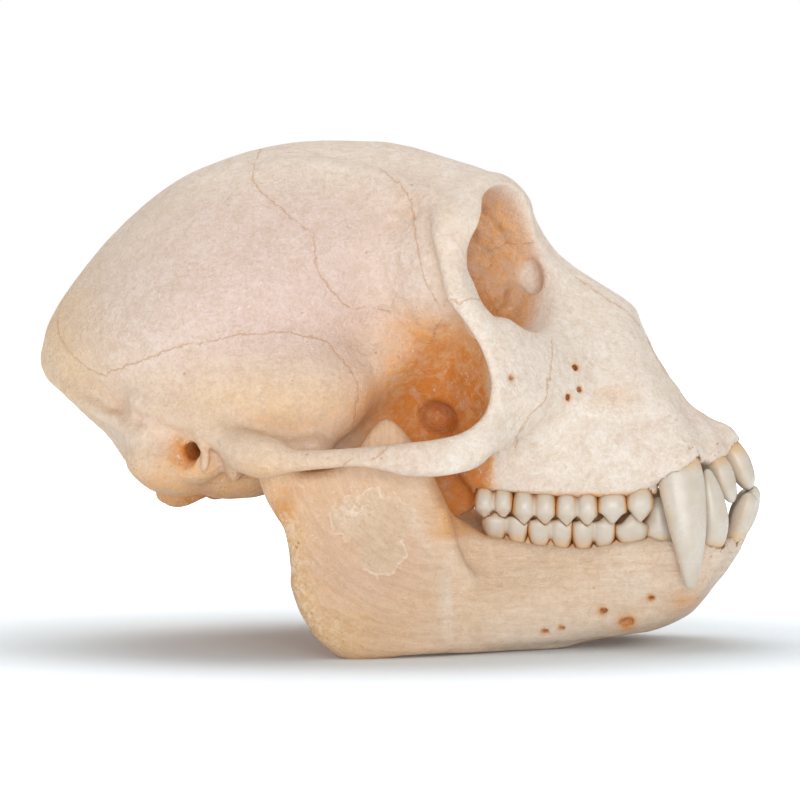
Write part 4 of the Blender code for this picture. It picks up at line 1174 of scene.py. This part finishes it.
def tooth_pieces(material):
    """Both sides' crowns, with the part of each root that is in the bone."""
    shapes = tooth_shapes()
    for index, (jaw, name, _) in enumerate(shapes):
        s = tooth_solid(shapes, index)
        d = s.grid(TOOTH_STEP, coarse=2, band=1.2)
        verts, quads = surface_net(d, s.low, TOOTH_STEP)
        verts = settle(d, s.low, TOOTH_STEP, verts, quads, 3)
        masks = tooth_masks(jaw, name, verts, slope(d, s.low, TOOTH_STEP, verts))
        for side, way in (("left", 1), ("right", -1)):
            piece = make_object(f"crown_{jaw}_{side}_{name}", verts * (1, way, 1),
                                quads if way > 0 else quads[:, ::-1])
            add_masks(piece, masks)
            hand_over(piece, material, f"tooth_{jaw}_{side}_{name}")


# Materials.

# How much a step inwards counts, where painted shade darkens small holes by their distance.
SPOT_DEPTH = 0.4
# How fast bone turns amber with the warm mask, and at half way deep amber.
WARM_GAIN = 1.8


class Nodes:
    """Short calls for wiring a material's nodes."""

    def __init__(self, name):
        self.material = bpy.data.materials.new(name)
        self.material.use_nodes = True
        self.tree = self.material.node_tree
        self.shader = self.tree.nodes["Principled BSDF"]
        coords = self.tree.nodes.new("ShaderNodeTexCoord")
        self.mm = self.vector("MULTIPLY", coords.outputs["Object"], (1000, 1000, 1000))

    def put(self, socket, value):
        """Links a node's output to the socket, or sets the socket to a plain value."""
        if hasattr(value, "is_output"):
            self.tree.links.new(value, socket)
        else:
            socket.default_value = value

    def vector(self, operation, a, b=(0, 0, 0), output="Vector"):
        node = self.tree.nodes.new("ShaderNodeVectorMath")
        node.operation = operation
        self.put(node.inputs[0], a)
        self.put(node.inputs[1], b)
        return node.outputs[output]

    def times(self, a, b, clamp=False):
        return self.math("MULTIPLY", a, b, clamp)

    def math(self, operation, a, b=0.0, clamp=False):
        node = self.tree.nodes.new("ShaderNodeMath")
        node.operation = operation
        node.use_clamp = clamp
        self.put(node.inputs[0], a)
        self.put(node.inputs[1], b)
        return node.outputs[0]

    def noise(self, size, detail=4.0, rough=0.5, stretch=(1, 1, 1), warp=0.0):
        """Noise from 0 to 1 with spots of this size in millimetres."""
        return self.noise_at(self.vector("MULTIPLY", self.mm, stretch), size, detail, rough, warp)

    def noise_at(self, place, size, detail, rough, warp):
        node = self.tree.nodes.new("ShaderNodeTexNoise")
        self.put(node.inputs["Vector"], place)
        for name, value in (("Scale", 1 / size), ("Detail", detail), ("Roughness", rough),
                            ("Distortion", warp)):
            node.inputs[name].default_value = value
        return node.outputs[0]

    def flow(self, size, detail, rough, run):
        """Noise drawn out along the flow lines. run is how much finer it is along them than across."""
        node = self.tree.nodes.new("ShaderNodeCombineXYZ")
        self.put(node.inputs[0], self.times(self.mask("along"), run))
        self.put(node.inputs[1], self.mask("across"))
        return self.noise_at(node.outputs[0], size, detail, rough, 0.6)

    def cells(self, size):
        """Distance from the nearest of many scattered points, 0 at each, in cell sizes."""
        node = self.tree.nodes.new("ShaderNodeTexVoronoi")
        node.inputs["Scale"].default_value = 1 / size
        node.inputs["Randomness"].default_value = 1.0
        self.put(node.inputs["Vector"], self.mm)
        return node.outputs["Distance"]

    def spots(self, places):
        """1 in small round spots on both sides, each given as (x, y, z, radius) in millimetres."""
        parts = self.tree.nodes.new("ShaderNodeSeparateXYZ")
        self.put(parts.inputs[0], self.mm)
        both = self.tree.nodes.new("ShaderNodeCombineXYZ")
        self.put(both.inputs[0], self.math("ADD", parts.outputs[0], -SHIFT))
        self.put(both.inputs[1], self.times(self.math("ABSOLUTE", parts.outputs[1]), SPOT_DEPTH))
        self.put(both.inputs[2], parts.outputs[2])
        out = 0.0
        for x, y, z, radius in places:
            far = self.vector("DISTANCE", both.outputs[0], (x, SPOT_DEPTH * y, z), "Value")
            out = self.math("MAXIMUM", self.step(far, 1.15 * radius, 0.75 * radius), out)
        return out

    def step(self, value, low, high):
        """0 below low, 1 above high, smooth in between. low may be above high."""
        node = self.tree.nodes.new("ShaderNodeMapRange")
        node.interpolation_type = "SMOOTHSTEP"
        flip = low > high
        self.put(node.inputs["Value"], value)
        node.inputs["From Min"].default_value = min(low, high)
        node.inputs["From Max"].default_value = max(low, high)
        node.inputs["To Min"].default_value = 1.0 if flip else 0.0
        node.inputs["To Max"].default_value = 0.0 if flip else 1.0
        return node.outputs[0]

    def mask(self, name):
        """A mask that the mesh carries."""
        node = self.tree.nodes.new("ShaderNodeAttribute")
        node.attribute_name = name
        return node.outputs["Fac"]

    def bump(self, height, strength, distance):
        """Bumps of this height on the shader's surface. distance is in metres."""
        node = self.tree.nodes.new("ShaderNodeBump")
        node.inputs["Strength"].default_value = strength
        node.inputs["Distance"].default_value = distance
        self.put(node.inputs["Height"], height)
        self.put(self.shader.inputs["Normal"], node.outputs[0])

    def mix(self, share, a, b, way="MIX"):
        node = self.tree.nodes.new("ShaderNodeMix")
        node.data_type = "RGBA"
        node.blend_type = way
        self.put(node.inputs["Factor"], share)
        self.put(node.inputs["A"], a)
        self.put(node.inputs["B"], b)
        return node.outputs["Result"]

    def all_of(self, *values):
        """The product of values."""
        out = values[0]
        for value in values[1:]:
            out = self.times(out, value)
        return out

    def sum_of(self, *pairs):
        """The sum of values times their weights."""
        out = 0.0
        for value, weight in pairs:
            out = self.math("ADD", self.times(value, weight), out)
        return out


def shade(red, green, blue):
    """A linear colour from the usual 0 to 255 numbers."""
    return tuple(((c / 255 + 0.055) / 1.055) ** 2.4 if c > 10 else c / 3295
                 for c in (red, green, blue)) + (1.0,)


def bone_material(name, colours, run, streaks, holes):
    """Dry bone: the masks choose its colours, and the grain runs along the flow lines.

    run is how much finer the grain is along them than across, and streaks is its share of the pattern.
    """
    plain, rosy, tan, pale, amber, deep, patch_tone = (shade(*colour) for colour in colours)
    n = Nodes(name)
    clouds = n.noise(8, 3)
    veins = n.noise(2.4, 4, 0.62, warp=1.4)
    grain = n.noise(0.5, 4, 0.6)
    fibre = n.flow(0.9, 5, 0.62, run)
    fine = n.flow(0.36, 4, 0.62, run)
    speckle = n.noise(0.22, 2, 0.5)
    broken = n.sum_of((veins, 1.1), (1.0, 0.45))
    blotchy = n.sum_of((veins, 2.4), (1.0, -0.2))
    colour = n.mix(n.step(clouds, 0.35, 0.65), plain, tuple(0.96 * c for c in plain[:3]) + (1.0,))
    for mask, ink in (("rosy", rosy), ("tan", tan), ("pale", pale)):
        colour = n.mix(n.times(n.mask(mask), broken, True), colour, ink)
    warm = n.times(n.math("ADD", n.mask("warm"), n.times(n.mask("hollow"), 0.20)), blotchy)
    colour = n.mix(n.times(warm, WARM_GAIN, True), colour, amber)
    colour = n.mix(n.math("ADD", n.times(warm, WARM_GAIN), -0.5 * WARM_GAIN, True), colour, deep)
    colour = n.mix(n.times(n.step(n.noise(4.5, 4, 0.6, warp=0.8), 0.52, 0.34), 0.25), colour, rosy)
    wavy = n.sum_of((n.mask("patch"), 1.0), (n.noise(2.0, 3), 0.9), (1.0, -0.45))
    blot = n.step(wavy, -0.02, 0.10)
    colour = n.mix(n.times(blot, 0.42), colour, patch_tone)
    chalk = n.all_of(n.mask("chalk"), n.step(n.noise(1.0, 4, 0.7), 0.46, 0.60), 0.8)
    edge = n.all_of(n.step(n.math("ABSOLUTE", wavy), 0.08, 0.02), n.step(n.noise(2.6, 3), 0.40, 0.60), 0.6)
    light = tuple(min(1.0, 1.08 * c + 0.03) for c in pale[:3]) + (1.0,)
    colour = n.mix(n.math("MAXIMUM", chalk, edge), colour, light)
    mottle = n.noise(1.3, 4, 0.6, warp=2.2)
    tone = n.sum_of((fibre, 0.30 * streaks), (fine, 0.20 * streaks), (mottle, 0.26 - 0.24 * streaks),
                    (veins, 0.32 - 0.10 * streaks), (grain, 0.26 - 0.12 * streaks),
                    (speckle, 0.16 - 0.04 * streaks))
    tint = n.mix(n.step(tone, 0.37, 0.63), (0.88, 0.80, 0.71, 1), (1.08, 1.10, 1.13, 1))
    colour = n.mix(1.0, colour, tint, "MULTIPLY")
    pores = n.all_of(n.step(n.cells(2.1), 0.12, 0.04), n.step(n.noise(5, 2), 0.54, 0.62), 0.6)
    pits = n.all_of(n.step(n.cells(0.8), 0.30, 0.12), n.step(n.noise(1.5, 3), 0.46, 0.58), n.mask("porous"))
    colour = n.mix(n.times(n.math("MAXIMUM", pores, pits), 0.55), colour, deep)
    flecks = n.all_of(n.step(n.noise(0.7, 3, 0.65, warp=1.0), 0.60, 0.68), n.step(n.noise(6, 3), 0.42, 0.60),
                      0.45)
    colour = n.mix(flecks, colour, light)
    wander = n.sum_of((n.noise(1.1, 2), 0.9), (n.noise(0.35, 1), 0.45))
    off = n.math("ABSOLUTE", n.math("ADD", n.mask("seam"), n.math("SUBTRACT", wander, 0.67)))
    seam = n.all_of(n.step(off, 0.16, 0.04), n.step(n.mask("seam_far"), 1.2, 0.7),
                    n.step(n.noise(3, 2), 0.26, 0.40))
    colour = n.mix(n.times(seam, 0.55), colour, shade(206, 152, 102))
    # Painted shade: deep brown inside the holes.
    holes = n.spots(holes)
    colour = n.mix(n.times(holes, 0.6), colour, shade(186, 110, 52))
    n.put(n.shader.inputs["Base Color"], colour)
    n.put(n.shader.inputs["Roughness"], n.sum_of((n.noise(0.8, 3), 0.22), (1.0, 0.46)))
    n.shader.inputs["Specular IOR Level"].default_value = 0.35
    height = n.sum_of((grain, 0.5), (veins, 0.7), (mottle, 0.5), (fibre, 0.7 * streaks),
                      (fine, 0.5 * streaks), (speckle, 0.3), (pores, -1.0), (pits, -0.8), (seam, -0.25))
    n.bump(height, 0.8, 0.0003)
    return n.material


def enamel_material():
    """Teeth: clouded enamel, darker at the neck and on the root, with painted amber shade in the gaps between
    them.
    """
    n = Nodes("tooth_enamel")
    above = n.mask("above")
    clouds = n.noise(2.2, 3)
    lines = n.noise(0.5, 3, 0.55, stretch=(1, 1, 0.12))
    colour = n.mix(n.step(clouds, 0.3, 0.7), shade(216, 207, 194), shade(209, 197, 179))
    colour = n.mix(n.all_of(n.step(above, 1.1, -0.4), 0.6), colour, shade(228, 184, 122))
    colour = n.mix(n.all_of(n.step(above, -0.6, -1.6), 0.7), colour, shade(212, 178, 130))
    colour = n.mix(n.times(n.step(lines, 0.55, 0.75), 0.2), colour, shade(220, 202, 176))
    # Painted shade: amber where the between mask marks the gaps.
    colour = n.mix(n.times(n.mask("between"), 0.8), colour, shade(224, 166, 90))
    n.put(n.shader.inputs["Base Color"], colour)
    n.put(n.shader.inputs["Roughness"], n.sum_of((clouds, 0.18), (1.0, 0.20)))
    n.shader.inputs["Subsurface Weight"].default_value = 0.2
    n.shader.inputs["Subsurface Radius"].default_value = (1.0, 0.7, 0.45)
    n.shader.inputs["Subsurface Scale"].default_value = 0.001
    n.shader.inputs["Coat Weight"].default_value = 0.15
    n.shader.inputs["Coat Roughness"].default_value = 0.2
    n.bump(n.sum_of((lines, 0.7), (clouds, 0.5)), 0.25, 0.0001)
    return n.material


# Camera, lights and floor. Distances in metres.

AZIMUTH = 4.0
ELEVATION = 1.75
DISTANCE = 0.5
TARGET = (0.0003, 0.0, 0.0352)
LENS = 153.8
WORLD_LIGHT = 0.46
# Name, place, target, width and power in watts.
LIGHTS = [("top", (-0.05, 0.28, 0.86), (0, 0, 0.03), 0.7, 3.9),
          ("key", (0.14, -0.94, 0.07), (0, 0, 0.04), 0.55, 5.0)]
FLOOR_TINTS = ((0.87, 0.94, 1.0, 1), (0.89, 0.96, 1.0, 1))


def aimed(thing, place, target):
    """Turns a camera or a light so that it looks at the target."""
    thing.location = place
    back = [a - b for a, b in zip(place, target)]
    thing.rotation_euler = (math.atan2(math.hypot(back[0], back[1]), back[2]), 0,
                            math.atan2(back[0], -back[1]))


def add_camera():
    """The camera at the photo's angle and distance."""
    a, e = math.radians(AZIMUTH), math.radians(ELEVATION)
    back = (math.sin(a) * math.cos(e), -math.cos(a) * math.cos(e), math.sin(e))
    camera = bpy.data.objects.new("camera", bpy.data.cameras.new("camera"))
    camera.data.lens = LENS
    camera.data.clip_start = 0.01
    aimed(camera, [t + DISTANCE * b for t, b in zip(TARGET, back)], TARGET)
    bpy.context.scene.collection.objects.link(camera)
    bpy.context.scene.camera = camera


def add_light(name, place, target, size, power):
    data = bpy.data.lights.new(name, "AREA")
    data.size = size
    data.energy = power
    light = bpy.data.objects.new(name, data)
    aimed(light, place, target)
    bpy.context.scene.collection.objects.link(light)


def add_world():
    """Even light from all round, which the camera sees as plain white."""
    world = bpy.data.worlds.new("studio")
    world.use_nodes = True
    tree = world.node_tree
    light = tree.nodes["Background"]
    light.inputs["Color"].default_value = (1, 1, 1, 1)
    light.inputs["Strength"].default_value = WORLD_LIGHT
    seen = tree.nodes.new("ShaderNodeBackground")
    seen.inputs["Color"].default_value = (1, 1, 1, 1)
    path = tree.nodes.new("ShaderNodeLightPath")
    either = tree.nodes.new("ShaderNodeMixShader")
    tree.links.new(path.outputs["Is Camera Ray"], either.inputs[0])
    tree.links.new(light.outputs[0], either.inputs[1])
    tree.links.new(seen.outputs[0], either.inputs[2])
    tree.links.new(either.outputs[0], tree.nodes["World Output"].inputs[0])
    bpy.context.scene.world = world
    bpy.context.scene.view_settings.view_transform = "Standard"


def add_floor():
    """A pale floor that glows more and more outside the skull's shadow, so that it meets the white around."""
    corners = np.array([(-3, -3, 0), (3, -3, 0), (3, 3, 0), (-3, 3, 0)], float)
    floor = make_object("floor", corners, np.array([(0, 1, 2, 3)]), in_field=False)
    n = Nodes("pale_floor")
    n.put(n.shader.inputs["Base Color"], n.mix(n.noise(60, 2), *FLOOR_TINTS))
    n.shader.inputs["Roughness"].default_value = 0.9
    far = n.vector("LENGTH", n.vector("MULTIPLY", n.mm, (0.6, 1, 1)), output="Value")
    glow = n.sum_of((n.step(far, 30, 62), 0.27), (n.step(far, 70, 220), 0.60), (1.0, 0.02))
    n.shader.inputs["Emission Color"].default_value = (1, 1, 1, 1)
    n.put(n.shader.inputs["Emission Strength"], glow)
    floor.data.materials.append(n.material)


# The height of each tooth's neck.
NECKS = {("upper", "incisor_1"): 28.0, ("upper", "incisor_2"): 26.6, ("upper", "canine"): 26.4,
         ("lower", "incisor_1"): 16.8, ("lower", "incisor_2"): 15.8, ("lower", "canine"): 15.0}
NECKS.update({("upper", name): row[2] for name, row in UPPER_CHEEK})
NECKS.update({("lower", name): row[2] for name, row in LOWER_CHEEK})

# The colours of bone: plain, rosy, tan, pale, amber, deep amber, and the patch on the jaw.
CRANIUM_COLOURS = [(226, 207, 190), (220, 196, 186), (226, 197, 163), (233, 221, 208), (226, 174, 122),
                   (212, 132, 58), (214, 186, 156)]
JAW_COLOURS = [(232, 202, 170), (220, 192, 170), (228, 194, 146), (232, 214, 196), (222, 170, 118),
               (204, 140, 76), (216, 198, 172)]

# Where painted shade darkens the holes: the pits that are wide enough, one pit under the eye, and the deep
# opening.
shaded_face_holes = [place for place in PITS if place[3] > 0.2]
shaded_face_holes += [(21.2, 6.0, 47.3, 0.42), (5.6, 13.6, 33.4, 1.3), (6.8, 13.6, 32.9, 1.5)]
shaded_jaw_holes = [(x, jaw_side(x, z), z + 0.1, 0.8 * high) for x, z, _, high in HOLES]

add_camera()
add_world()
for light in LIGHTS:
    add_light(*light)
add_floor()
cranium_bone = bone_material("cranium_bone", CRANIUM_COLOURS, 0.5, 0.35, shaded_face_holes)
jaw_bone = bone_material("jaw_bone", JAW_COLOURS, 0.2, 0.9, shaded_jaw_holes)
enamel = enamel_material()
bone_piece("skull_cranium", "cranium", cranium_solid(), cranium_paint, cranium_bone,
           MOST_CRANIUM_TRIANGLES)
bone_piece("skull_jaw", "mandible", mandible_solid(), jaw_paint, jaw_bone, MOST_JAW_TRIANGLES)
tooth_pieces(enamel)
